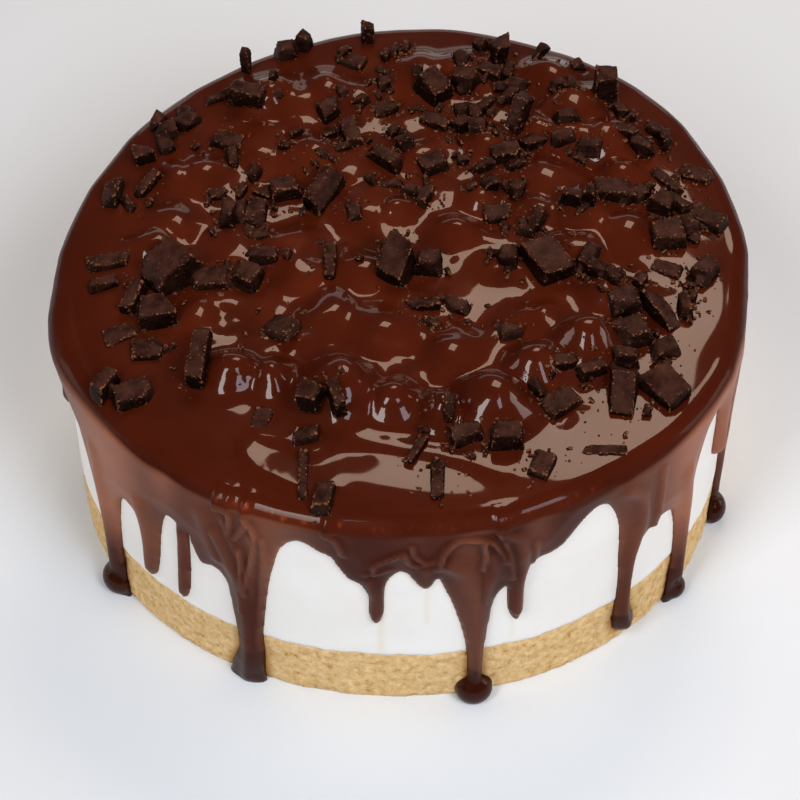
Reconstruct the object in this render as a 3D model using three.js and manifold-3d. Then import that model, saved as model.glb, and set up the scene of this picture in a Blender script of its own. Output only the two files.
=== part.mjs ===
// A round chilled layer cake: crumb base, thick white filling, a poured chocolate glaze that runs
// down the side in drips, lumps under the glaze, and chopped dark chocolate scattered on top.
// Millimetres, +Z up. The origin is the centre of the underside; -Y is the front.
import * as THREE from 'three';
import { mergeVertices } from 'three/addons/utils/BufferGeometryUtils.js';
import Module from 'manifold-3d';

const wasm = await Module();
wasm.setup();

// Driving dimensions
const baseRadius = 109;        // crumb base, before the uneven outline
const fillingRadius = 109.5;   // the filling stands a touch proud of the crumbs
const baseHeight = 24;
const fillingTop = 91;
const glazeTop = 94;           // flat parts of the poured top
const gap = 0.3;               // between pieces that touch
const sideDrift = 2;           // the top sits this far to +X of the foot
const shoulder = 4;            // rounding of the top edge under the glaze
const curtainSkin = 2.2;       // glaze thickness where it turns over the edge
const columns = 120;           // facets round the cake
const ringStep = 5.35;         // facets across the top
const coarseRings = { quarter: 3, half: 10 };  // inner rings with a quarter or half of the facets
const edgeTurns = [45, 90];    // degrees, the rings that turn the glaze over the edge
const dripFacets = 6;
const flareLength = 13;        // how fast a curtain narrows into a drip
const curtainStart = fillingTop - shoulder;
const dripTop = fillingTop - 2.5;

// The outline is a circle with these small unevennesses (shares of the radius), and with these
// shallow bulges and hollows: azimuth, width in degrees, depth in millimetres.
const outline = { sin2: 0.007, cos3: -0.0057, sin3: -0.0156 };
const outlineBulges = [[38, 18, 2.5], [-10, 12, -2.2], [142, 12, 1.6]];
// The rim hangs out at the left, where the glaze is thickest.
const rimBulge = { azimuth: -163, width: 11, depth: 2.4 };

// Drips seen from the front: azimuth, half width, height of the tip, radius of the foot on the
// floor (0: none), then azimuth and height of the arch to the next drip. 0 is +X, -90 the front.
const frontDrips = [
  [-171, 2.6, 46, 0, -164, 76],
  [-150.5, 4.3, 0, 6, -142.9, 56],
  [-136.2, 3.9, 29, 0, -130.8, 69],
  [-128.8, 3.0, 30, 0, -126.2, 70],
  [-122.8, 2.6, 56, 0, -120.4, 60],
  [-116.2, 4.5, 0, 5, -106.9, 83],
  [-94.8, 2.3, 47, 0, -90.8, 74],
  [-87.3, 3.6, 65, 0, -85.1, 71],
  [-79.3, 2.8, 0, 5.5, -75.1, 62],
  [-72.8, 2.6, 41, 0, -57.2, 81.5],
  [-51.8, 2.8, 6, 0, -42.5, 54],
  [-37.5, 3.1, 0, 4.2, -30, 79],
  [-26.5, 3.2, 52, 0, -22.5, 76],
  [-18.5, 2.4, 0, 6, -13, 73],
  [-8, 2.2, 58, 0, -3, 77],
];
// Drips round the back follow on from the front ones, between these limits.
const backDrips = {
  first: 3, last: 175, count: 13, seed: 41, stray: 3,
  half: [2.3, 3.6], tip: [-8, 54], footBelow: 8, foot: [3.5, 5.5], arch: [67, 81],
};

// The curtain between the drips: share of its height, and thickness there.
const curtainRows = [[0.6, 2.1], [1, 1]];
const curtainLowest = 22;      // where neighbouring drips hang close together
const curtainNarrowest = 0.8;  // it ends where it would be narrower
const curtainStep = 0.5;
const curtainInside = 2;       // how far its lower edge reaches into the side before it is cut

// Outlines of the drips, in shares of the half width or of the foot's radius.
const footOutline = [[0.8, 0], [1, 0.5], [0.8, 1.2]];
const footNeck = 2.1;
const tipOutline = [[0.75, 0.3], [1.1, 1.2], [0.95, 3]];
const dripShoulders = [[1, 14], [0.8, 5]];     // half width, distance below dripTop
const dripFlatness = 0.8;      // depth of a drip as a share of its width

// Lumps under the glaze: x, y, radius, height above the flat top.
const lumps = [
  [-19, -56, 10, 12], [-52, -47, 7, 8], [-40, -50, 6, 7], [-3, -60, 7, 8], [11, -65, 6, 9],
  [27, -63, 9, 12], [41, -47, 7, 9], [57, -40, 8, 13], [65, -17, 6, 5], [47, -28, 6, 3],
  [15, -41, 7, 5], [-23, -22, 8, 4], [-6, -29, 10, 4], [-12, -4, 7, 4], [-30, -4, 7, 3],
  [-65, -23, 5, 3], [-80, 8, 6, 5], [-73, 19, 7, 4], [-63, 40, 7, 5], [-73, 40, 5, 4],
  [-42, 78, 8, 7], [-32, 75, 5, 4], [-23, 80, 8, 6], [-13, 76, 7, 4], [-29, 49, 8, 6],
  [-45, 54, 8, 3], [0, 22, 5, 4], [-10, 25, 8, 3], [10, 88, 8, 5], [22, 89, 8, 5],
  [53, 84, 8, 6], [60, 69, 9, 7], [47, 59, 6, 5], [57, 55, 8, 6], [69, 53, 8, 7],
  [73, 37, 6, 5], [48, 35, 9, 5], [58, 21, 9, 5], [74, 10, 7, 5], [57, 4, 6, 4],
  [44, 21, 6, 4], [18, 12, 6, 4], [27, 28, 5, 4], [30, 54, 5, 4], [-35, 6, 8, 3],
  [-54, 8, 7, 3], [8, 48, 6, 3], [-17, 42, 7, 3], [34, -3, 7, 2],
];
const lumpBlend = 4;           // power that joins the lumps with soft creases
const lumpSpread = 1.15;
const lumpShape = 1.25;        // above 1: rounder tops and steeper sides
const waves = { height: 0.5, lengthX: 9, lengthY: 11, swing: 1.3, swingLength: 13, start: 0.7 };
// Lumps and chopped pieces lie this far to +Y of the places listed.
const toppingShift = -3;

// Chopped chocolate placed piece by piece: x, y, length, width, thickness, turn about Z, lean
// (how far its length points up). From berryLength up each is a piece of its own.
const berryLength = 10;
const chunks = [
  [-73, -4, 17, 13, 10, 40, 15], [-76, -22, 13, 10, 9, 5, 0], [-84, -15, 12, 5, 7, 70, 10],
  [-93, 2, 15, 6, 5, 12, 0], [-94, -8, 9, 5, 4, 20, 0], [-88, -29, 11, 7, 4, 25, 0],
  [-79, -36, 10, 8, 5, 0, 0], [-60, -7, 12, 8, 5, 0, 5], [-49, -6, 11, 9, 8, -30, 0],
  [-43, 1, 9, 5, 6, -5, 0], [-62, -45, 18, 6, 8, 80, 20], [-91, -51, 10, 5, 7, 60, 0],
  [-82, -54, 13, 9, 6, 20, 0], [-37, -28, 12, 11, 3, -40, 25], [-22, 0, 17, 4, 5, 88, 10],
  [-1, -4, 15, 10, 10, 65, 25], [9, -3, 9, 7, 8, 0, 0], [6, -21, 14, 4, 5, 10, 0],
  [47, -4, 17, 11, 9, 120, 15], [35, -2, 8, 7, 7, 0, 0], [60, -3, 9, 6, 4, 55, 30],
  [70, -22, 10, 9, 8, 20, 0], [71, -35, 12, 10, 8, 20, 0], [81, -25, 17, 5, 7, 122, 10],
  [81, -41, 9, 7, 5, 20, 0], [68, -46, 8, 6, 7, 10, 0], [80, -57, 14, 10, 8, 128, 8],
  [67, -60, 15, 8, 5, 83, 30], [58, -51, 10, 5, 6, 25, 0], [50, -48, 8, 6, 5, 0, 0],
  [48, -61, 13, 9, 5, 35, 0], [41, -57, 9, 4, 5, 128, 0], [19, -75, 11, 6, 6, 15, 0],
  [31, -76, 10, 8, 8, 0, 0], [14, -69, 9, 4, 4, 85, 60], [41, -86, 10, 7, 5, 70, 0],
  [60, -80, 14, 4, 3, -3, 0], [-27, -63, 10, 8, 8, 60, 10], [-20, -65, 10, 4, 8, 108, 10],
  [-29, -73, 9, 5, 4, 15, 0], [-30, -87, 17, 3, 4, 88, 5], [-24, -96, 10, 6, 5, 80, 0],
  [-43, -66, 11, 6, 3, 75, 10], [10, -90, 15, 4, 5, 88, 10], [4, -79, 13, 3, 5, 62, 0],
  [71, 74, 13, 8, 7, 90, 88], [70, 28, 12, 8, 7, 0, 0], [88, 33, 14, 4, 5, 128, 0],
  [98, 36, 11, 6, 4, 155, 0], [100, 15, 12, 7, 6, 150, 0], [86, 7, 11, 9, 8, 10, 0],
  [97, -9, 9, 8, 8, 45, 0], [85, -6, 11, 6, 4, 155, 0], [86, 21, 9, 7, 7, 150, 0],
  [-24, 30, 16, 8, 8, 58, 10], [-37, 32, 10, 8, 8, 20, 0], [-5, 46, 15, 5, 7, 142, 0],
  [12, 43, 10, 7, 6, 25, 0], [13, 77, 11, 9, 9, 130, 10], [32, 20, 10, 8, 5, 5, 0],
  [36, 46, 11, 7, 7, 8, 0], [-56, 56, 11, 7, 5, 155, 0], [-82, 36, 14, 4, 5, 55, 10],
  [-93, 33, 11, 6, 8, 80, 0], [-15, 58, 12, 6, 7, 105, 0], [-3, 71, 9, 6, 5, 20, 0],
  [41, 61, 12, 5, 7, 60, 50], [55, 50, 8, 6, 5, 25, 0], [24, 81, 9, 7, 6, 150, 0],
  [32, 87, 10, 6, 6, 150, 0], [40, 79, 9, 6, 6, 150, 0], [-50, 74, 13, 7, 6, 160, 0],
  [-46, 21, 10, 7, 7, 80, 0], [-55, 19, 9, 5, 8, 80, 0], [-76, 61, 8, 6, 6, 30, 0],
  [-84, 50, 9, 6, 6, 10, 0], [-22, 68, 8, 7, 6, 30, 0], [13, 64, 11, 5, 6, 150, 0],
];
const chunkSink = 1.4;         // how deep a piece sits in the glaze
const chunkTaper = { top: 0.86, foot: 1.04 };
const chunkWobble = { span: 0.3, middle: 0.6 };  // unevenness of a piece's corners
const slopeStep = 3;           // a piece on a slope settles towards the front by this much
// Smaller bits scattered by rule between them, but not on the bare front and left margins.
const bits = {
  count: 30, tries: 1200, seed: 7, inner: 8, outer: 96, smallest: 3.2, largest: 6.4,
  width: [0.5, 1], thickness: [0.35, 0.85], lean: 50, clearance: 0.8, bareFront: -62, bareLeft: 88,
};

const radians = THREE.MathUtils.degToRad;

// The same draw of numbers every time.
function makeRandom(seed) {
  let state = seed;
  return () => {
    state = (state * 16807) % 2147483647;
    return state / 2147483647;
  };
}

function between([low, high], share) {
  return low + (high - low) * share;
}

function wrapDegrees(angle) {
  return ((angle % 360) + 540) % 360 - 180;
}

// A smooth bump round an azimuth: 1 at its middle, 0 far away.
function bumpAt(degrees, azimuth, width) {
  const away = wrapDegrees(degrees - azimuth) / width;
  return Math.exp(-away * away);
}

function unevenness(azimuth) {
  const degrees = THREE.MathUtils.radToDeg(azimuth);
  const bulges = outlineBulges.reduce(
    (sum, [at, width, depth]) => sum + depth * bumpAt(degrees, at, width), 0);
  return 1 + outline.sin2 * Math.sin(2 * azimuth) + outline.cos3 * Math.cos(3 * azimuth)
    + outline.sin3 * Math.sin(3 * azimuth) + bulges / fillingRadius;
}

function wall(azimuth) {
  return fillingRadius * unevenness(azimuth);
}

// A point given by azimuth, radius and height on the slightly drifted cake.
function onCake(azimuth, radius, z) {
  const drift = sideDrift * z / glazeTop;
  return new THREE.Vector3(radius * Math.cos(azimuth) + drift, radius * Math.sin(azimuth), z);
}

// Height of the glaze above its flat level.
function relief(x, y) {
  let sum = 0;
  for (const [lumpX, lumpY, radius, height] of lumps) {
    const reach = (radius * lumpSpread) ** 2;
    const distance = ((x - lumpX) ** 2 + (y - lumpY - toppingShift) ** 2) / reach;
    sum += (height * Math.exp(-(distance ** lumpShape))) ** lumpBlend;
  }
  const swing = waves.swing * Math.sin(y / waves.swingLength);
  const wave = Math.sin(x / waves.lengthX + swing) * Math.sin(y / waves.lengthY + waves.start);
  return sum ** (1 / lumpBlend) + waves.height * wave;
}

function surface(x, y) {
  return glazeTop + relief(x, y);
}

function allDrips() {
  const random = makeRandom(backDrips.seed);
  const rows = frontDrips.map((row) => [...row]);
  const step = (backDrips.last - backDrips.first) / (backDrips.count - 1);
  for (let k = 0; k < backDrips.count; k += 1) {
    const azimuth = backDrips.first + k * step + backDrips.stray * (random() - 0.5);
    const half = between(backDrips.half, random());
    const low = between(backDrips.tip, random());
    const foot = low < backDrips.footBelow ? between(backDrips.foot, random()) : 0;
    const arch = between(backDrips.arch, random());
    rows.push([azimuth, half, foot > 0 ? 0 : low, foot, azimuth + step * 0.5, arch]);
  }
  return rows.map(([azimuth, half, tip, foot, archAzimuth, archHeight]) => ({
    azimuth, half, tip, foot, archAzimuth, archHeight,
  }));
}

const drips = allDrips();

// How far beyond its own half width a drip's flare still reaches at this height.
function flare(reach, archHeight, z) {
  if (z >= archHeight) {
    return reach + (z - archHeight);
  }
  return reach * (1 - Math.sqrt(1 - Math.exp(-(archHeight - z) / flareLength)));
}

// The lower edge of the curtain between the drips.
function curtainEdge(azimuthDegrees) {
  const arc = radians(1) * fillingRadius;
  for (let z = curtainStart - 2; z > curtainLowest; z -= curtainStep) {
    let inside = -1;
    drips.forEach((drip, index) => {
      const before = drips[(index + drips.length - 1) % drips.length];
      const offset = wrapDegrees(azimuthDegrees - drip.azimuth) * arc;
      const side = offset < 0 ? before : drip;
      const reach = Math.abs(wrapDegrees(side.archAzimuth - drip.azimuth)) * arc;
      inside = Math.max(inside, flare(reach, side.archHeight, z) - Math.abs(offset));
    });
    if (inside < curtainNarrowest) {
      return z;
    }
  }
  return curtainLowest;
}

function rimExtra(azimuthDegrees) {
  return rimBulge.depth * bumpAt(azimuthDegrees, rimBulge.azimuth, rimBulge.width);
}

// Joins rings of points into one closed body. Each ring has as many points as the next, or
// twice or half as many; the first and last rings close onto a point.
function ringSolid(rings, firstPoint, lastPoint) {
  const points = [firstPoint];
  const starts = [];
  for (const ring of rings) {
    starts.push(points.length);
    points.push(...ring);
  }
  points.push(lastPoint);
  const faces = [];
  const last = points.length - 1;
  const lastRing = rings[rings.length - 1].length;
  for (let j = 0; j < rings[0].length; j += 1) {
    faces.push([0, 1 + j, 1 + ((j + 1) % rings[0].length)]);
  }
  for (let k = 1; k < rings.length; k += 1) {
    const above = rings[k - 1].length;
    const below = rings[k].length;
    const steps = Math.min(above, below);
    for (let j = 0; j < steps; j += 1) {
      const top = (i) => starts[k - 1] + ((i + above) % above);
      const low = (i) => starts[k] + ((i + below) % below);
      if (above === below) {
        faces.push([top(j), low(j), low(j + 1)], [top(j), low(j + 1), top(j + 1)]);
      } else if (below > above) {
        faces.push([top(j), low(2 * j), low(2 * j + 1)], [top(j), low(2 * j + 1), top(j + 1)]);
        faces.push([top(j + 1), low(2 * j + 1), low(2 * j + 2)]);
      } else {
        faces.push([top(2 * j), low(j), top(2 * j + 1)], [top(2 * j + 1), low(j), low(j + 1)]);
        faces.push([top(2 * j + 1), low(j + 1), top(2 * j + 2)]);
      }
    }
  }
  for (let j = 0; j < lastRing; j += 1) {
    faces.push([last, starts[rings.length - 1] + ((j + 1) % lastRing), starts[rings.length - 1] + j]);
  }
  const geometry = new THREE.BufferGeometry();
  geometry.setAttribute('position', new THREE.Float32BufferAttribute(
    points.flatMap((point) => [point.x, point.y, point.z]), 3));
  geometry.setIndex(faces.flat());
  return geometry;
}

// A ring of points round the cake from a function of the azimuth.
function ringOf(count, pointAt) {
  return Array.from({ length: count }, (_, j) => pointAt(2 * Math.PI * j / count));
}

function toManifold(geometry) {
  const bare = geometry.clone();
  bare.deleteAttribute('normal');
  bare.deleteAttribute('uv');
  const merged = mergeVertices(bare, 1e-4);
  const mesh = new wasm.Mesh({
    numProp: 3,
    vertProperties: new Float32Array(merged.attributes.position.array),
    triVerts: new Uint32Array(merged.index.array),
  });
  mesh.merge();
  return new wasm.Manifold(mesh);
}

function toGeometry(manifold) {
  const { vertProperties, triVerts, numProp } = manifold.getMesh();
  const positions = [];
  for (let i = 0; i < vertProperties.length; i += numProp) {
    positions.push(vertProperties[i], vertProperties[i + 1], vertProperties[i + 2]);
  }
  const geometry = new THREE.BufferGeometry();
  geometry.setAttribute('position', new THREE.Float32BufferAttribute(positions, 3));
  geometry.setIndex(Array.from(triVerts));
  return geometry;
}

// The largest of the bodies that a cut leaves.
function largestBody(manifold) {
  return manifold.decompose().reduce((best, body) => (body.volume() > best.volume() ? body : best));
}

// One layer of the cake between two heights, with an edge rounding at its top.
function layer(radius, bottom, top, rounding) {
  const at = (inset, z) => ringOf(columns, (a) => onCake(a, radius * unevenness(a) - inset, z));
  const rings = [at(rounding, top)];
  if (rounding > 0) {
    rings.push(at(0, top - rounding));
  }
  rings.push(at(0, bottom));
  return ringSolid(rings, onCake(0, 0, top), onCake(0, 0, bottom));
}

// The poured top with its lumps, turned over the edge as a curtain.
function glazeSheet() {
  const rings = [];
  const ringCount = Math.round((fillingRadius - shoulder) / ringStep);
  for (let k = 1; k <= ringCount; k += 1) {
    let count = columns;
    if (k <= coarseRings.quarter) {
      count = columns / 4;
    } else if (k <= coarseRings.half) {
      count = columns / 2;
    }
    rings.push(ringOf(count, (a) => {
      const point = onCake(a, (wall(a) - shoulder) * k / ringCount, glazeTop);
      point.z = surface(point.x, point.y);
      return point;
    }));
  }
  const skin = glazeTop - fillingTop;
  for (const turn of edgeTurns) {
    rings.push(ringOf(columns, (a) => {
      const bulge = rimExtra(THREE.MathUtils.radToDeg(a)) * Math.sin(radians(turn));
      const out = shoulder + skin + (curtainSkin - skin) * turn / 90 + bulge;
      const flat = onCake(a, wall(a) - shoulder, glazeTop);
      const lift = relief(flat.x, flat.y) * Math.cos(radians(turn));
      const radius = wall(a) - shoulder + out * Math.sin(radians(turn));
      return onCake(a, radius, curtainStart + out * Math.cos(radians(turn)) + lift);
    }));
  }
  const edges = Array.from({ length: columns }, (_, j) => curtainEdge(360 * j / columns));
  for (const [share, thickness] of curtainRows) {
    rings.push(Array.from({ length: columns }, (_, j) => {
      const a = 2 * Math.PI * j / columns;
      const bulge = rimExtra(360 * j / columns) * (1 - share);
      const z = curtainStart + (edges[j] - curtainStart) * share;
      return onCake(a, wall(a) + gap + thickness + bulge, z);
    }));
  }
  rings.push(Array.from({ length: columns }, (_, j) => {
    const a = 2 * Math.PI * j / columns;
    return onCake(a, wall(a) - curtainInside, edges[j] + 0.2);
  }));
  rings.push(ringOf(columns, (a) => onCake(a, wall(a) - shoulder - curtainInside, curtainStart)));
  return toManifold(ringSolid(rings, onCake(0, 0, surface(0, 0)), onCake(0, 0, curtainStart)));
}

// One drip: a round tongue that hangs down the wall, or ends in a foot on the floor.
function dripSolid(drip) {
  const { half, tip, foot } = drip;
  const profile = foot > 0
    ? [[0, 0], ...footOutline.map(([r, z]) => [r * foot, z * foot]), [half, footNeck * foot]]
    : [[0, tip], ...tipOutline.map(([r, z]) => [r * half, tip + z * half])];
  profile.push(...dripShoulders.map(([r, below]) => [r * half, dripTop - below]), [0, dripTop]);
  const lathe = new THREE.LatheGeometry(profile.map(([r, z]) => new THREE.Vector2(r, z)), dripFacets);
  lathe.rotateX(Math.PI / 2);
  lathe.scale(dripFlatness, 1, 1);
  const a = radians(drip.azimuth);
  lathe.rotateZ(a);
  const shear = new THREE.Matrix4().set(
    1, 0, sideDrift / glazeTop, wall(a) * Math.cos(a),
    0, 1, 0, wall(a) * Math.sin(a),
    0, 0, 1, 0,
    0, 0, 0, 1);
  lathe.applyMatrix4(shear);
  return toManifold(lathe);
}

// A chopped piece: a block with uneven corners, laid on the glaze.
function choppedPiece([x, listedY, length, width, thickness, turn, lean], random) {
  const y = listedY + toppingShift;
  const box = new THREE.BoxGeometry(length, width, thickness);
  box.deleteAttribute('normal');
  box.deleteAttribute('uv');
  const block = mergeVertices(box);
  const position = block.attributes.position;
  for (let i = 0; i < position.count; i += 1) {
    const taper = position.getZ(i) > 0 ? chunkTaper.top : chunkTaper.foot;
    const wobble = [random(), random(), random()].map(
      (draw) => 1 + chunkWobble.span * (draw - chunkWobble.middle));
    position.setXYZ(i, position.getX(i) * wobble[0] * taper,
      position.getY(i) * wobble[1] * taper, position.getZ(i) * wobble[2]);
  }
  const rise = radians(lean);
  block.rotateY(-rise);
  block.rotateZ(radians(turn));
  const reach = 0.5 * (length * Math.abs(Math.sin(rise)) + thickness * Math.abs(Math.cos(rise)));
  const lower = surface(x + slopeStep, y - slopeStep);
  const foot = Math.min(surface(x, y), 0.5 * (surface(x, y) + lower));
  block.translate(x, y, foot + reach - chunkSink);
  return toManifold(block);
}

// Bits by rule: any place in the ring that is clear of the placed pieces.
function scatteredBits(random) {
  const rows = [];
  let tries = 0;
  while (rows.length < bits.count && tries < bits.tries) {
    tries += 1;
    const angle = 2 * Math.PI * random();
    const radius = bits.inner + (bits.outer - bits.inner) * Math.sqrt(random());
    const size = bits.smallest + (bits.largest - bits.smallest) * random() ** 2;
    const shape = [between(bits.width, random()), between(bits.thickness, random())];
    const pose = [180 * random(), bits.lean * random()];
    const x = radius * Math.cos(angle);
    const y = radius * Math.sin(angle);
    const bare = x < 0 && (y < bits.bareFront || radius > bits.bareLeft);
    const near = [...chunks, ...rows].some(
      (row) => Math.hypot(x - row[0], y - row[1]) < 0.5 * (row[2] + size) + bits.clearance);
    if (!near && !bare) {
      rows.push([x, y, size, size * shape[0], size * shape[1], ...pose]);
    }
  }
  return rows;
}

const cake = new THREE.Group();

function addNode(name, geometry, color, roughness) {
  const material = new THREE.MeshStandardMaterial({ color, roughness, metalness: 0 });
  const mesh = new THREE.Mesh(geometry, material);
  mesh.name = name;
  cake.add(mesh);
}

// The colours of the layers.
const colors = { base: 0xc9a06a, filling: 0xf2efe6, glaze: 0x3a140a, chocolate: 0x1e120d };

const core = toManifold(layer(fillingRadius + gap, -1, fillingTop + gap, shoulder));
let glaze = glazeSheet();
for (const drip of drips) {
  glaze = glaze.add(dripSolid(drip));
}
glaze = largestBody(glaze.subtract(core));

const raisedGlaze = glaze.translate([0, 0, gap]);
const pieces = [];
const small = [];
const random = makeRandom(bits.seed);
for (const row of chunks) {
  let piece = choppedPiece(row, random);
  if (row[2] < berryLength) {
    small.push(piece);
    continue;
  }
  piece = largestBody(piece.subtract(raisedGlaze));
  for (const other of pieces) {
    const shared = piece.intersect(other.grown);
    if (!shared.isEmpty()) {
      piece = largestBody(piece.subtract(other.grown));
    }
  }
  const [low, high] = [piece.boundingBox().min, piece.boundingBox().max];
  const middle = low.map((value, axis) => (value + high[axis]) / 2);
  const factors = low.map((value, axis) => 1 + 2 * gap / (high[axis] - value));
  const grown = piece.translate(middle.map((value) => -value)).scale(factors).translate(middle);
  pieces.push({ piece, grown });
}
for (const row of scatteredBits(random)) {
  small.push(choppedPiece(row, random));
}
for (const bit of small) {
  if (pieces.every(({ grown }) => bit.intersect(grown).isEmpty())) {
    glaze = glaze.add(bit);
  }
}
glaze = largestBody(glaze);

addNode('crumb_base', layer(baseRadius, 0, baseHeight, 0), colors.base, 0.9);
addNode('filling', layer(fillingRadius, baseHeight + gap, fillingTop, shoulder), colors.filling, 0.7);
addNode('glaze', toGeometry(glaze), colors.glaze, 0.15);
pieces.forEach(({ piece }, index) => {
  addNode(`chunk_${String(index + 1).padStart(2, '0')}`, toGeometry(piece), colors.chocolate, 0.6);
});

export default cake;
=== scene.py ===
"""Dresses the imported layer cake: poured glaze, chopped chocolate, cream filling and crumb base.

Shapes are worked out in millimetres, as in the part's source, and turned into metres when a
mesh is made.
"""

import itertools
import math

import bmesh
import bpy
import numpy as np
from mathutils import Matrix, Vector, geometry, kdtree, noise


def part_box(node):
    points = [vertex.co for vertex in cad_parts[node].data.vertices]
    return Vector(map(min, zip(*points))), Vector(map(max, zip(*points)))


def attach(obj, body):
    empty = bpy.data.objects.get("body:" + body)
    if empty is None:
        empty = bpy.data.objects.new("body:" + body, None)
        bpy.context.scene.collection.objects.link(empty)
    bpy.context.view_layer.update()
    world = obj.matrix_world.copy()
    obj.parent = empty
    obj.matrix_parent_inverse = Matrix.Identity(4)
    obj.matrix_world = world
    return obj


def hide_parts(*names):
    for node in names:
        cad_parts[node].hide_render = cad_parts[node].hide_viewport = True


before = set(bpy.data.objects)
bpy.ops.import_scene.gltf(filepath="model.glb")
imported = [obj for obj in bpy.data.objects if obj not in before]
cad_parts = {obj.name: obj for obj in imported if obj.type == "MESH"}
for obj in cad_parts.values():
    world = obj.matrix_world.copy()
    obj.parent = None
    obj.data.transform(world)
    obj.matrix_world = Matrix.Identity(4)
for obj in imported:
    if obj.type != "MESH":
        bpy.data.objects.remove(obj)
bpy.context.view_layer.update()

MM = 0.001

# The cake, as in the part's source (millimetres).
BASE_RADIUS = 109.0
FILLING_RADIUS = 109.5
BASE_HEIGHT = 24.0
FILLING_TOP = 91.0
GLAZE_TOP = 94.0
SIDE_DRIFT = 2.0
SHOULDER = 4.0
CURTAIN_START = FILLING_TOP - SHOULDER
FLARE_LENGTH = 13.0
OUTLINE_SIN2, OUTLINE_COS3, OUTLINE_SIN3 = 0.007, -0.0057, -0.0156
OUTLINE_BULGES = [(38, 18, 2.5), (-10, 12, -2.2), (142, 12, 1.6)]    # azimuth, width, depth
TOPPING_SHIFT = -3.0           # lumps lie this far to +Y of the places listed
RIM_BULGE = {"azimuth": -163, "width": 11, "depth": 2.4}

# Drips seen from the front: azimuth, half width, height of the tip, radius of the foot on the
# floor (0: none), then azimuth and height of the arch to the next drip.
FRONT_DRIPS = [
    (-171, 2.6, 46, 0, -164, 76),
    (-150.5, 4.3, 0, 6, -142.9, 56),
    (-136.2, 3.9, 29, 0, -130.8, 69),
    (-128.8, 3.0, 30, 0, -126.2, 70),
    (-122.8, 2.6, 56, 0, -120.4, 60),
    (-116.2, 4.5, 0, 5, -106.9, 83),
    (-94.8, 2.3, 47, 0, -90.8, 74),
    (-87.3, 3.6, 65, 0, -85.1, 71),
    (-79.3, 2.8, 0, 5.5, -75.1, 62),
    (-72.8, 2.6, 41, 0, -57.2, 81.5),
    (-51.8, 2.8, 6, 0, -42.5, 54),
    (-37.5, 3.1, 0, 4.2, -30, 79),
    (-26.5, 3.2, 52, 0, -22.5, 76),
    (-18.5, 2.4, 0, 6, -13, 73),
    (-8, 2.2, 58, 0, -3, 77),
]
BACK_DRIPS = {"first": 3, "last": 175, "count": 13, "seed": 41}

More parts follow.
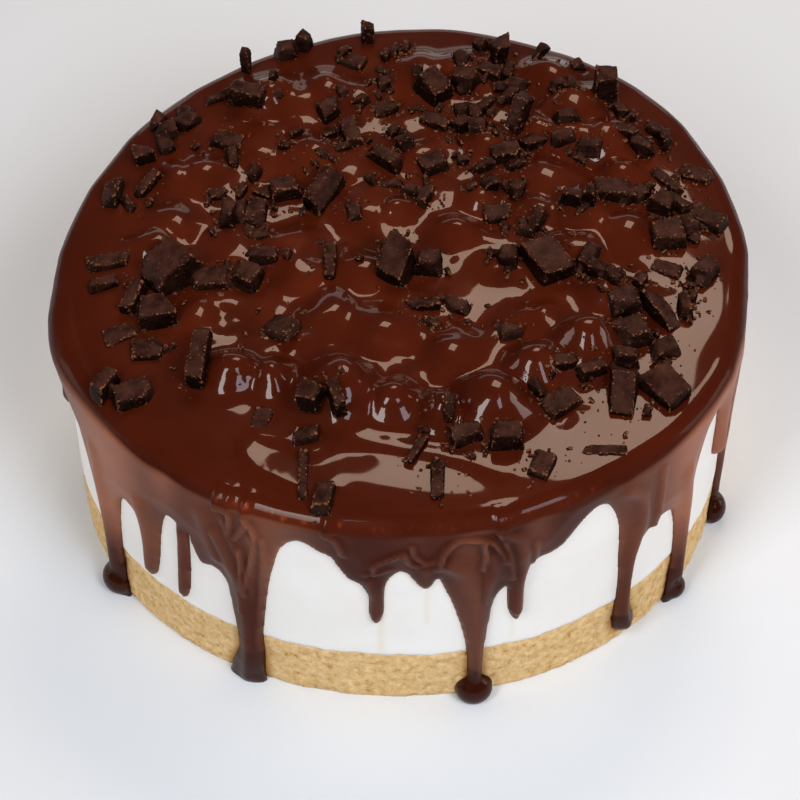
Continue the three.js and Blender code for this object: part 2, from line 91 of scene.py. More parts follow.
# The lower edge of the curtain round the front, as it shows in the photo: azimuth and height.
# Each run is a smooth curve, and runs meet in sharp corners where one tongue covers another.
EDGE_RUNS = [
    [(-164, 76), (-159, 68), (-155.5, 57), (-153, 42), (-151.6, 30), (-151, 16), (-151, 6), (-151, -4),
     (-145.4, -4), (-145.6, 6), (-145.8, 16), (-145.7, 30), (-144.8, 46), (-144.2, 53), (-143, 56.3),
     (-141.6, 57), (-140.1, 55.6), (-139.2, 50.5), (-138.9, 42.5), (-139, 34.5), (-138.7, 29.6),
     (-137.4, 27.4), (-136, 31), (-135, 40), (-134.4, 50), (-133.6, 59), (-132.6, 66)],
    [(-132.6, 66), (-131.5, 66.6), (-130.5, 66.2)],
    [(-130.5, 66.2), (-130.4, 58.8), (-130.8, 46), (-131.2, 33), (-130.9, 28.8), (-130, 27.3),
     (-129.1, 30.5), (-128.5, 37), (-128.1, 49.5), (-127.9, 60), (-127.9, 64)],
    [(-127.9, 64), (-127, 57), (-126.1, 53), (-125, 51.8), (-123.5, 52.8), (-122, 51.3), (-121, 47),
     (-120.5, 38), (-120, 29), (-119.6, 20), (-119.7, 14.5), (-120.6, 8.5), (-121.4, 3), (-121.3, -4),
     (-115.4, -4), (-115, 6), (-114.9, 17), (-115, 24), (-114.6, 34), (-114, 45), (-113.3, 55.6),
     (-112.4, 64), (-111.4, 72), (-109.9, 76.8), (-108.3, 79), (-106.5, 78.2), (-104.9, 75.8),
     (-103, 74), (-101.9, 70), (-100.3, 64.6), (-98.5, 62.3), (-97.4, 58.6), (-96.8, 54.5),
     (-96.8, 48), (-96.4, 43.8), (-95.6, 42), (-94.8, 43.8), (-94.3, 49), (-94.3, 56), (-94, 62),
     (-93.1, 66.4), (-91.8, 69), (-90.7, 68), (-89.7, 64.8), (-88.7, 61.7), (-87.7, 60),
     (-86.6, 61.6), (-85.7, 65.7)],
    [(-85.7, 65.7), (-84.7, 60), (-83.2, 51.3), (-81.9, 41), (-81, 32), (-80.4, 22.7), (-80.2, 13),
     (-80.2, 5), (-80.2, -4), (-77.6, -4), (-77.7, 5), (-77.7, 12), (-77.6, 21.3), (-77.3, 32),
     (-76.8, 42.2), (-76.4, 48.7), (-75.7, 53.4), (-74.8, 55.8), (-74.3, 56.6)],
    [(-74.3, 56.6), (-74.1, 48.3), (-73.6, 41.7), (-72.6, 37.5), (-71.8, 38.2), (-71.2, 43.5),
     (-71.3, 51.5), (-71.2, 57.4), (-70.7, 62.5), (-70.2, 65.2)],
    [(-70.2, 65.2), (-68.9, 66.6), (-66.9, 67.4), (-65, 69.6), (-63.5, 73.2), (-61.9, 77.3),
     (-60.2, 80.4), (-58.8, 81.2), (-57.2, 79.4), (-55.8, 74.6), (-54.7, 68), (-54, 57), (-53.7, 46.6),
     (-53.3, 35.7), (-53.2, 26), (-53.4, 18), (-53.3, 11.5), (-52.3, 7.2), (-50.2, 6), (-48.6, 7.4),
     (-48.7, 11), (-49.6, 17), (-50.2, 25.5), (-50.4, 34), (-50.3, 41.6), (-49.9, 47.4), (-48.8, 51.6),
     (-47.5, 53.6), (-46.6, 53.9)],
    [(-46.6, 53.9), (-44.7, 55.3), (-42.8, 54.2), (-41.6, 52)],
    [(-41.6, 52), (-40.4, 42), (-39.8, 30.4), (-39.5, 21.7), (-39.7, 14.2), (-39.9, 8), (-39.7, -4),
     (-34.8, -4), (-34.9, 4), (-35.4, 10), (-35.7, 16), (-35.8, 22.3), (-36, 36), (-36, 48.7),
     (-35.9, 58.7), (-35.2, 67), (-34, 74.4), (-33, 78), (-31.5, 79.5), (-30, 79.5)],
]
EDGE_SPAN = (-164, -30)
# Feet of those drips that swell where they meet the floor: azimuth, radius.
ROUND_FEET = [(-148.3, 6.2), (-79, 6.2), (-37.3, 4.4)]
FOOT_LIFT = 0.75               # how high the middle of a foot is, for its radius

# Lumps under the glaze: x, y, radius, height above the flat top.
LUMPS = [
    (-19, -56, 10, 12), (-52, -47, 7, 8), (-40, -50, 6, 7), (-3, -60, 7, 8), (11, -65, 6, 9),
    (27, -63, 9, 12), (41, -47, 7, 9), (57, -40, 8, 13), (65, -17, 6, 5), (47, -28, 6, 3),
    (15, -41, 7, 5), (-23, -22, 8, 4), (-6, -29, 10, 4), (-12, -4, 7, 4), (-30, -4, 7, 3),
    (-65, -23, 5, 3), (-80, 8, 6, 5), (-73, 19, 7, 4), (-63, 40, 7, 5), (-73, 40, 5, 4),
    (-42, 78, 8, 7), (-32, 75, 5, 4), (-23, 80, 8, 6), (-13, 76, 7, 4), (-29, 49, 8, 6),
    (-45, 54, 8, 3), (0, 22, 5, 4), (-10, 25, 8, 3), (10, 88, 8, 5), (22, 89, 8, 5),
    (53, 84, 8, 6), (60, 69, 9, 7), (47, 59, 6, 5), (57, 55, 8, 6), (69, 53, 8, 7),
    (73, 37, 6, 5), (48, 35, 9, 5), (58, 21, 9, 5), (74, 10, 7, 5), (57, 4, 6, 4),
    (44, 21, 6, 4), (18, 12, 6, 4), (27, 28, 5, 4), (30, 54, 5, 4), (-35, 6, 8, 3),
    (-54, 8, 7, 3), (8, 48, 6, 3), (-17, 42, 7, 3), (34, -3, 7, 2),
]
LUMP_BLEND = 4                 # how sharply lumps that meet are told apart
LUMP_SPREAD = 1.15             # how much wider a lump is than its listed radius
LUMP_SHAPE = 1.25              # above 1 a lump has a flatter crown and steeper sides
LUMP_WARP = 0.8                # how far the lumps' outlines stray from round
# Rings of glaze round the tall lumps: how tall a lump has them, their height, reach and spacing.
SWIRLS = {"from": 7, "height": 0.30, "reach": 3.2, "spacing": 3.6}
# Folds where the glaze came to rest: points from left to right, height, width behind and in front.
FOLDS = [
    ([(-31, -33), (-25, -32), (-19, -32), (-11, -35), (-2, -39), (5, -38)], 1.3, 8.0, 3.2),
    ([(-43, -74), (-34, -77), (-27, -81), (-18, -77), (-1, -80), (14, -84), (29, -91)], 0.7, 4.0, 3.0),
    ([(-48, -81), (-45, -86), (-38, -91), (-31, -95), (-24, -96)], 0.8, 5.0, 2.0),
    ([(-64, -5), (-54, -3), (-44, -6), (-32, -3)], 0.9, 6.0, 3.0),
    ([(-81, 19), (-76, 8), (-69, -2), (-64, -8)], 0.9, 5.0, 3.0),
    ([(17, -34), (25, -38), (33, -31), (44, -28)], 1.0, 6.0, 3.0),
    ([(23, 7), (39, 4), (52, 7)], 0.8, 6.0, 3.0),
    ([(-53, 64), (-45, 71), (-38, 67), (-32, 58)], 0.9, 5.0, 3.0),
    ([(-22, 22), (-9, 17), (4, 20)], 0.8, 6.0, 3.0),
]
# Where the poured glaze lies flat: x, y, radius.
CALM = [(-60, -72, 26), (0, -95, 26), (24, -17, 15), (40, -95, 22), (-86, -40, 20)]
CALMED = 0.8                   # how much flatter the ripples are there, and on the lumps
RIPPLES = [(0.55, 24, 0.9), (0.08, 9, 2.2)]    # height, length and turn
WAVE_HEIGHT = 0.3              # of the slow waves, which go on everywhere
MARGIN_START, MARGIN_DROP = 92.0, 0.0058   # the margin falls away towards the edge
FLAT_MARGIN = (-53, 17)        # except about this azimuth, over this width

# How finely the glaze is meshed.
COLUMNS = 800
AZIMUTHS = 2 * math.pi * np.arange(COLUMNS) / COLUMNS
WALL_ROW = 1.0
TOP_SPACING = 1.2
TOP_RING = 97.0                # the triangular grid of the top ends here
TOP_REACH = 115                # and is laid out over this square
MARGIN_RINGS = 7               # rings from the grid to the rounded edge
EDGE_RINGS = 15                # rings round that edge
INNER_TURNS = (60, 30, 0)      # the filling's own edge, in degrees from level


def make_random(seed):
    """The same draw of numbers every time, as in the part's source."""
    state = seed

    def draw():
        nonlocal state
        state = (state * 16807) % 2147483647
        return state / 2147483647

    return draw


def wrap_degrees(angle):
    return (angle + 180) % 360 - 180


def degrees_of(a):
    return wrap_degrees(np.degrees(a))


def bump_at(degrees, azimuth, width):
    return np.exp(-(wrap_degrees(degrees - azimuth) / width) ** 2)


def unevenness(a):
    degrees = np.degrees(a)
    bulges = sum(depth * bump_at(degrees, azimuth, width) for azimuth, width, depth in OUTLINE_BULGES)
    return (1 + OUTLINE_SIN2 * np.sin(2 * a) + OUTLINE_COS3 * np.cos(3 * a)
            + OUTLINE_SIN3 * np.sin(3 * a) + bulges / FILLING_RADIUS)


def wall(a):
    return FILLING_RADIUS * unevenness(a)


def on_cake(a, radius, z):
    """Points given by azimuth, radius and height on the slightly drifted cake."""
    a, radius, z = np.broadcast_arrays(a, radius, z)
    drift = SIDE_DRIFT * z / GLAZE_TOP
    return np.stack([radius * np.cos(a) + drift, radius * np.sin(a), z], axis=-1)


def all_drips():
    rows = list(FRONT_DRIPS)
    draw = make_random(BACK_DRIPS["seed"])
    step = (BACK_DRIPS["last"] - BACK_DRIPS["first"]) / (BACK_DRIPS["count"] - 1)
    for k in range(BACK_DRIPS["count"]):
        azimuth = BACK_DRIPS["first"] + k * step + 3 * (draw() - 0.5)
        half = 2.3 + 1.3 * draw()
        low = 62 * draw() - 8
        foot = 3.5 + 2 * draw() if low < 8 else 0
        arch = 67 + 14 * draw()
        rows.append((azimuth, half, 0 if foot > 0 else low, foot, azimuth + step * 0.5, arch))
    return rows


DRIPS = all_drips()


def ripple(x, y, length, turn):
    """A soft uneven pattern, about -1 to 1, with hills about a length apart."""
    total = np.zeros_like(x)
    for k in range(5):
        angle = turn + 2.4 * k
        along = (x * math.cos(angle) + y * math.sin(angle)) * 2 * math.pi / length * (1 + 0.13 * k)
        across = (y * math.cos(angle) - x * math.sin(angle)) * 2 * math.pi / (2.7 * length)
        total += np.sin(along + 1.7 * np.sin(across + k) + k * k)
    return total / 2.2


def smooth_curve(points, step):
    """Points along a smooth curve through the given ones, about a step apart."""
    points = np.asarray(points, float)
    ends = np.vstack([2 * points[0] - points[1], points, 2 * points[-1] - points[-2]])
    made = []
    for k in range(len(points) - 1):
        p0, p1, p2, p3 = ends[k:k + 4]
        count = max(2, int(np.hypot(*(p2 - p1)) / step) + 1)
        t = (np.arange(count) / count)[:, None]
        made.append(0.5 * (2 * p1 + (p2 - p0) * t + (2 * p0 - 5 * p1 + 4 * p2 - p3) * t ** 2
                           + (3 * p1 - p0 - 3 * p2 + p3) * t ** 3))
    made.append(points[-1:])
    return np.concatenate(made)


def fold_height(x, y):
    """Height of the folds: a gentle slope behind each line and a steep one in front."""
    total = np.zeros_like(x)
    for points, height, behind, before in FOLDS:
        line = smooth_curve(points, 1.0)
        tangents = np.gradient(line, axis=0)
        offsets = np.stack([x[:, None] - line[:, 0], y[:, None] - line[:, 1]], axis=-1)
        squared = (offsets ** 2).sum(axis=2)
        nearest = squared.argmin(axis=1)
        rows = np.arange(len(x))
        offset, tangent = offsets[rows, nearest], tangents[nearest]
        left = tangent[:, 0] * offset[:, 1] - tangent[:, 1] * offset[:, 0] > 0
        width = np.where(left, behind, before)
        total += height * np.exp(-squared[rows, nearest] / width ** 2)
    return total


def relief(x, y):
    """Height of the glaze above its flat level: lumps, folds and slow waves."""
    warped_x = x + LUMP_WARP * ripple(x, y, 30, 0.3)
    warped_y = y + LUMP_WARP * ripple(x, y, 30, 1.9) - TOPPING_SHIFT
    total, swirls = np.zeros_like(x), np.zeros_like(x)
    for lump_x, lump_y, radius, height in LUMPS:
        reach = (radius * LUMP_SPREAD) ** 2
        distance = ((warped_x - lump_x) ** 2 + (warped_y - lump_y) ** 2) / reach
        total += (height * np.exp(-(distance ** LUMP_SHAPE))) ** LUMP_BLEND
        if height >= SWIRLS["from"]:
            away = np.sqrt(distance * reach) - 0.8 * radius
            ring = SWIRLS["height"] * np.sin(2 * math.pi * away / SWIRLS["spacing"] + lump_x)
            swirls += ring * np.exp(-(away / SWIRLS["reach"]) ** 2)
    lumps = total ** (1 / LUMP_BLEND)
    lumps += swirls * np.clip(0.5 + ripple(x, y, 16, 2.7), 0, 1)
    from_middle = np.hypot(x - SIDE_DRIFT, y) / unevenness(np.arctan2(y, x))
    lively = np.clip((MARGIN_START - from_middle) / 14, 0, 1) * (1 - CALMED * np.clip(lumps / 5, 0, 1))
    for calm_x, calm_y, radius in CALM:
        lively *= 1 - CALMED * np.exp(-(((x - calm_x) ** 2 + (y - calm_y) ** 2) / radius ** 2) ** 2)
    uneven = sum(height * ripple(x, y, length, turn) for height, length, turn in RIPPLES)
    waves = WAVE_HEIGHT * np.sin(x / 9 + 1.3 * np.sin(y / 13)) * np.sin(y / 11 + 0.7)
    flatter = 1 - 0.9 * bump_at(np.degrees(np.arctan2(y, x)), *FLAT_MARGIN)
    margin = MARGIN_DROP * flatter * np.maximum(from_middle - MARGIN_START, 0) ** 2
    return lumps + fold_height(x, y) + lively * uneven + waves - margin


def rim_extra(a):
    return RIM_BULGE["depth"] * bump_at(np.degrees(a), RIM_BULGE["azimuth"], RIM_BULGE["width"])


def add_mark(mesh, name, values):
    """A number for each point, which a material reads by its name."""
    mesh.attributes.new(name, "FLOAT", "POINT").data.foreach_set("value", values)


def turned(turn):
    """The shares of a step that go up and out where a surface has turned by so many degrees."""
    return math.cos(math.radians(turn)), math.sin(math.radians(turn))


def tree_of(points):
    """A search tree over the points."""
    tree = kdtree.KDTree(len(points))
    for k, point in enumerate(points):
        tree.insert(point, k)
    tree.balance()
    return tree


def distances(tree, points):
    return np.array([tree.find(point)[2] for point in points])


def make_object(name, vertices, faces, material, smooth=True, **marks):
    """A mesh object from millimetre vertices, riding on the cake."""
    mesh = bpy.data.meshes.new(name)
    mesh.from_pydata((np.asarray(vertices) * MM).tolist(), [], faces)
    for mark, values in marks.items():
        add_mark(mesh, mark, values)
    mesh.validate()
    mesh.materials.append(material)
    mesh.polygons.foreach_set("use_smooth", [smooth] * len(mesh.polygons))
    piece = bpy.data.objects.new(name, mesh)
    bpy.context.scene.collection.objects.link(piece)
    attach(piece, "root")
    return piece


# ---------------------------------------------------------------- glaze

ARC = math.radians(1) * FILLING_RADIUS     # millimetres along the wall in one degree
# The front's lower edge as one line: millimetres along the wall, and height.
FRONT_EDGE = np.concatenate([smooth_curve([(az * ARC, z) for az, z in run], 0.4) for run in EDGE_RUNS])
FRONT_TREE = tree_of([(x, z, 0) for x, z in FRONT_EDGE.tolist()])
BARE = -50.0                   # what a field says where there is no glaze at all


def front_edge_distance(x, z):
    """How far points of the wall are from the front's lower edge."""
    x, z = np.broadcast_arrays(x, z)
    return distances(FRONT_TREE, [(along, height, 0) for along, height in zip(x.tolist(), z.tolist())])


def in_front(azimuth):
    return (azimuth > EDGE_SPAN[0]) & (azimuth < EDGE_SPAN[1])


def drip_offset(k, degrees, z):
    """Millimetres along the wall from the middle of a drip, which sways a little."""
    sway = 0.5 * np.sin(z / 11 + 2.1 * k) * np.clip((85 - z) / 40, 0, 1)
    return wrap_degrees(degrees - DRIPS[k][0]) * ARC - sway


def by_rule_field(a, z):
    """Above 0 where glaze covers the wall, for drips that follow the rule."""
    degrees = np.degrees(a)
    inside = np.full(np.broadcast(a, z).shape, BARE)
    for k, (azimuth, half, tip, foot, arch_azimuth, arch) in enumerate(DRIPS):
        x = drip_offset(k, degrees, z)
        before = DRIPS[k - 1]
        for sign, side_azimuth, side_arch in ((-1, before[4], before[5]), (1, arch_azimuth, arch)):
            reach = abs(wrap_degrees(side_azimuth - azimuth)) * ARC
            below = side_arch - z
            narrowing = 1 - np.sqrt(1 - np.exp(-np.maximum(below, 0) / FLARE_LENGTH))
            width = np.where(below < 0, reach - below, half + (reach - half) * narrowing)
            if foot == 0:
                width = width + 0.14 * half * np.exp(-((z - tip - 1.6 * half) / (2.2 * half)) ** 2)
            body = width - np.abs(x)
            if foot == 0:
                round_end = 1.12 * half
                end = round_end - np.hypot(x, z - tip - round_end)
                body = np.where(z < tip + round_end, end, body)
            inside = np.maximum(inside, np.where(sign * x >= 0, body, BARE))
        if foot > 0:
            inside = np.maximum(inside, foot - np.hypot(x, z - FOOT_LIFT * foot))
    return inside


def curtain_field(a, z):
    """Above 0 where glaze covers the wall; near 0 it is the distance to the edge."""
    field = by_rule_field(a, z)
    degrees = degrees_of(a)
    before, after = FRONT_EDGE[:-1], FRONT_EDGE[1:]
    for j in np.nonzero(in_front(degrees[0]))[0]:
        x = degrees[0, j] * ARC
        cuts = (before[:, 0] > x) != (after[:, 0] > x)
        share = (x - before[cuts, 0]) / (after[cuts, 0] - before[cuts, 0])
        crossings = before[cuts, 1] + share * (after[cuts, 1] - before[cuts, 1])
        covered = (crossings[:, None] > z[:, j]).sum(axis=0) % 2 == 0
        field[:, j] = np.where(covered, 1, -1) * front_edge_distance(x, z[:, j])
    for azimuth, radius in ROUND_FEET:
        x = (degrees - azimuth) * ARC
        field = np.maximum(field, radius - np.hypot(x, z - FOOT_LIFT * radius))
    return field


# Thicker strands and lobes on the curtain: points (azimuth, height), half width, extra thickness.
STRANDS = [
    ([(-121.5, 74), (-119, 60), (-117.6, 45), (-117.2, 25), (-117.4, 3)], 3.2, 1.5),
    ([(-124, 80), (-123, 70), (-121.5, 62)], 3.0, 1.0),
    ([(-115.6, 78), (-115.9, 60), (-116.2, 30), (-116.4, 10)], 1.1, 0.9),
    ([(-120.2, 82), (-119.6, 76), (-118.6, 70), (-118.4, 64)], 1.0, 0.9),
    ([(-121, 8), (-119.6, 14), (-118.8, 24)], 1.2, 0.9),
    ([(-149.5, 70), (-148.8, 50), (-148.4, 25), (-148.3, 5)], 2.8, 1.0),
    ([(-137.6, 66), (-137.2, 50), (-137.3, 33)], 2.6, 1.0),
    ([(-129.3, 62), (-129.6, 45), (-130, 32)], 1.8, 1.0),
    ([(-96.6, 66), (-95.7, 58), (-95.6, 46)], 1.7, 1.0),
    ([(-97.4, 69), (-96.6, 70.5), (-95.4, 70.2), (-93.5, 72)], 0.8, 0.8),
    ([(-87.8, 72), (-87.7, 64)], 2.2, 1.0),
    ([(-83.5, 74), (-81.5, 68), (-80, 55), (-79.2, 42), (-79, 25), (-79, 8)], 3.4, 1.7),
    ([(-77.5, 76), (-77, 70), (-77.6, 62), (-78.6, 52)], 2.6, 1.2),
    ([(-75.5, 86), (-73.4, 82), (-72.4, 72), (-72.2, 60), (-72.4, 44)], 2.4, 1.8),
    ([(-70.3, 78), (-70.2, 72), (-70.3, 66)], 0.8, 1.0),
    ([(-54, 84), (-51.5, 78), (-50.6, 68), (-51.2, 55), (-51.8, 40), (-52, 20), (-51, 10)], 2.6, 1.6),
    ([(-47.2, 84), (-47, 74), (-47.2, 64), (-47.4, 57)], 1.3, 1.5),
    ([(-40, 70), (-38.4, 55), (-37.8, 35), (-37.5, 12)], 2.4, 1.2),
    ([(-117.6, 70), (-117.4, 62), (-117.6, 52), (-118, 38)], 0.9, 2.2),
    ([(-116.5, 87), (-114.8, 80), (-115.5, 68), (-116.6, 57), (-117.1, 48)], 0.9, 2.0),
    ([(-113.7, 78), (-113.7, 65), (-114.8, 43), (-115.7, 25), (-116.3, 7)], 1.1, 1.2),
    ([(-121.5, 87), (-119.3, 87), (-119, 83), (-119.2, 77.5)], 0.8, 1.6),
    ([(-116, 87), (-116.1, 84), (-117.3, 78.7), (-118.3, 75.3)], 0.8, 1.5),
    ([(-103.5, 87), (-102, 85.5), (-101.3, 82.8), (-100.7, 78.2)], 0.9, 1.3),
    ([(-95.8, 70.3), (-95.9, 74), (-95.1, 76.2), (-93.3, 78.4), (-91, 80.9)], 0.8, 1.5),
    ([(-91, 80.9), (-90.5, 77.2), (-89.6, 74.7), (-88.1, 75.3)], 0.8, 1.3),
    ([(-90, 83.7), (-89.5, 79.6), (-87.6, 76.1), (-85.8, 78.2), (-84.8, 82.4)], 0.8, 1.3),
    ([(-85.8, 72.5), (-84.8, 80.4), (-83.1, 85.1), (-80.5, 85.4), (-77.8, 83.3), (-76.2, 78.3),
      (-75.1, 72)], 0.9, 1.9),
    ([(-78.8, 83), (-78.5, 77.2), (-78.8, 70.7)], 0.8, 2.4),
    ([(-76.6, 87), (-75.1, 79.4), (-74.3, 71.4), (-73.7, 62.7)], 0.9, 2.0),
]


def strand_thickness(degrees, z):
    """Extra glaze along the strands, and the round feet."""
    x, extra, bulb = degrees * ARC, np.zeros(len(z)), np.zeros(len(z))
    for points, width, height in STRANDS:
        line = smooth_curve([(az * ARC, h) for az, h in points], 1.0)
        near = np.min(np.hypot(x[:, None] - line[:, 0], z[:, None] - line[:, 1]), axis=1)
        extra = np.maximum(extra, height * np.exp(-(near / width) ** 2))
    feet = list(ROUND_FEET)
    for k, (azimuth, half, tip, foot, _, _) in enumerate(DRIPS):
        if in_front(azimuth):
            continue
        swell = 1 + 0.5 * np.exp(-((z - tip - 1.3 * half) / (2.0 * half)) ** 2) * (foot == 0)
        ridge = np.exp(-((drip_offset(k, degrees, z) / (1.15 * half)) ** 2))
        extra = np.maximum(extra, 0.33 * half * ridge * np.clip((92 - z) / 22, 0, 1) * swell)
        if foot > 0:
            feet.append((azimuth, foot))
    for azimuth, radius in feet:
        across = wrap_degrees(degrees - azimuth) * ARC
        squared = radius ** 2 - across ** 2 - (z - FOOT_LIFT * radius) ** 2
        bulb = np.maximum(bulb, 0.95 * np.sqrt(np.maximum(squared, 0)))
    return extra, bulb


def marching_polygons(field, rows, columns):
    """Polygons where the field is above 0 on a grid closed round the columns.

    Returns polygons as lists of keys: ("n", row, column) for a grid point, ("h", row, column) and
    ("v", row, column) for a crossing on the edge that starts there and runs along or down."""
    polygons = []
    positive = field > 0
    for i in range(rows - 1):
        live = positive[i] | positive[i + 1]
        live = live | np.roll(live, -1)
        for j in np.nonzero(live)[0].tolist():
            after = (j + 1) % columns
            corners = ((i, j), (i + 1, j), (i + 1, after), (i, after))
            edges = (("v", i, j), ("h", i + 1, j), ("v", i, after), ("h", i, j))
            flags = [positive[c] for c in corners]
            if not any(flags):
                continue
            ring = []
            for k in range(4):
                if flags[k]:
                    ring.append(("n", *corners[k]))
                if flags[k] != flags[(k + 1) % 4]:
                    ring.append(edges[k])
            if len(ring) >= 3:
                polygons.append(ring)
    return polygons


CURTAIN_THICKNESS = 1.75
EDGE_ROLL = 3.2                # how far in from its edge the curtain reaches its full thickness
BITE = 0.25                    # how far the glaze reaches into what it lies on
NEAREST_CUT = 0.04             # a crossing keeps this share of its edge from the corners


def curtain_mesh():
    """The part of the glaze below the rounded edge: rows of vertices and polygons."""
    row_count = int(round(CURTAIN_START / WALL_ROW)) + 1
    heights = np.linspace(CURTAIN_START, 0, row_count)
    field = curtain_field(*np.meshgrid(AZIMUTHS, heights))
    field[0] = np.maximum(field[0], 1.0)
    polygons = marching_polygons(field, row_count, COLUMNS)

    keys = {}
    for ring in polygons:
        for key in ring:
            keys.setdefault(key, len(keys))
    va, vz = np.zeros(len(keys)), np.zeros(len(keys))
    for (kind, i, j), index in keys.items():
        va[index], vz[index] = AZIMUTHS[j], heights[i]
        if kind == "n":
            continue
        there = field[i, (j + 1) % COLUMNS] if kind == "h" else field[i + 1, j]
        share = min(max(field[i, j] / (field[i, j] - there), NEAREST_CUT), 1 - NEAREST_CUT)
        if kind == "h":
            va[index] += share * AZIMUTHS[1]
        else:
            vz[index] += share * (heights[i + 1] - heights[i])
    on_edge = np.array([key[0] != "n" for key in keys])
    skin = on_cake(va, wall(va), vz)
    distance = distances(tree_of(skin[on_edge].tolist()), skin.tolist())
    distance[on_edge] = 0
    roll = 1 - (1 - np.minimum(distance / EDGE_ROLL, 1)) ** 2
    extra, bulb = strand_thickness(degrees_of(va), vz)
    thick = CURTAIN_THICKNESS + 1.1 * np.clip((distance - 2) / 7, 0, 1) + extra
    thickness = thick * np.sqrt(roll)
    thickness = np.where(bulb > 0, np.maximum(thickness, bulb), thickness)
    thickness += rim_extra(va) * np.clip((vz - 70) / (CURTAIN_START - 70), 0, 1)
    thickness[on_edge] = 0
    outer = on_cake(va, wall(va) - BITE + thickness, vz)
    inner = on_cake(va, wall(va) - BITE, vz)
    return keys, polygons, outer, inner, on_edge, thickness, row_count


def hex_points(limit):
    """Points of a triangular grid inside the outline of the flat top."""
    row = TOP_SPACING * math.sqrt(3) / 2
    points = []
    for r in range(int(2 * TOP_REACH / row)):
        x = np.arange(-TOP_REACH, TOP_REACH, TOP_SPACING) + (r % 2) * TOP_SPACING / 2
        points.append(np.stack([x, np.full_like(x, -TOP_REACH + r * row)], axis=-1))
    points = np.concatenate(points)
    outline = limit * unevenness(np.arctan2(points[:, 1], points[:, 0]))
    return points[np.hypot(points[:, 0], points[:, 1]) < outline - 0.7 * TOP_SPACING]


def glaze_top(x, y):
    return GLAZE_TOP + relief(x, y)


CURTAIN_TINT, FOOT_TINT = 0.4, 0.18
# Painted sheen and reflection, where the curtain is painted paler: azimuth, width, how much, and the lowest
# height.
SHEEN_PATCHES = [(-146, 11, 0.30, 22), (-131, 3, 0.20, 66), (-124, 4, 0.06, 50), (-111.5, 7, 0.12, 42),
                (-89, 3, 0.03, 60), (-80, 3.5, 0.06, 5), (-69.5, 2.5, 0.06, 40), (-54, 5, 0.06, 35),
                (-36, 10, 0.32, 22), (-22, 7, 0.26, 30)]
SHEEN_FADE = 26                 # how far above its lowest height a patch is full
PAINTED_RIDGE_LIGHT = 0.30              # painted highlight and shade: how much paler a ridge of 1 mm is painted, and how much darker a hollow
FOOT_DARK = 9.0                # the glaze is deep and dark in the feet, up to about this height
# Under the crest the glaze is thin and the filling shines through it: azimuth span and strength.
THIN_BANDS = [(-122, -103, 1.0), (-105, -90, 0.5), (-92, -58, 0.3)]


def painted_sheen(a, z):
    """How much paler the painted sheen and reflection make the curtain than where it is deep."""
    degrees = degrees_of(a)
    return sum(amount * bump_at(degrees, azimuth, width) * np.clip((z - lowest) / SHEEN_FADE, 0, 1)
               for azimuth, width, amount, lowest in SHEEN_PATCHES)


def edge_tint(a, turn):
    """The curtain's tint with its painted sheen and reflection on the rounded edge, from the flat top (0)
    down to the curtain (90).
    """
    return (CURTAIN_TINT + painted_sheen(a, CURTAIN_START)) * np.clip((turn - 25) / 50, 0, 1)


def edge_glow(a, turn):
    """How red the light glows through the glaze: an even band with bright spots in it."""
    degrees = degrees_of(a)
    spots = np.sin(4.3 * degrees + 2.6 * np.sin(0.61 * degrees) + turn / 12) * np.sin(0.83 * degrees + 1.3)
    shine = 0.9 * np.clip(spots, 0, 1) * np.exp(-((turn - 50 - 6 * np.sin(1.7 * degrees)) / 7) ** 2)
    shine *= np.clip(0.35 + np.sin(1.7 * degrees + 0.5) * np.sin(0.47 * degrees + 2), 0, 1)
    glow = 0.11 * np.exp(-((turn - 58) / 18) ** 2) + shine
    band = np.zeros_like(degrees)
    for start, stop, strength in THIN_BANDS:
        inside = np.clip((degrees - start) / 4, 0, 1) * np.clip((stop - degrees) / 4, 0, 1)
        band = np.maximum(band, strength * inside)
    return glow * band


def top_sheen_paint(x, y):
    """Painted sheen: the top is painted lighter and redder from the middle to the back."""
    uneven = 0.7 + 0.5 * ripple(x, y, 26, 0.5)
    return 0.05 * uneven * np.clip((y + 65) / 50, 0, 1) * np.clip((102 - np.hypot(x, y)) / 15, 0, 1)


def foot_strips(keys, polygons, inner_index, last):
    """The feet stand on the floor: the strip between the outer and the inner skin."""
    for ring in polygons:
        low = [k for k, key in enumerate(ring) if key[0] in "nh" and key[1] == last]
        if len(low) == 2:
            first, second = keys[ring[low[0]]], keys[ring[low[1]]]
            if low[1] - low[0] != 1:
                first, second = second, first
            strip = list(dict.fromkeys([second, first, inner_index[first], inner_index[second]]))
            if len(strip) >= 3:
                yield strip


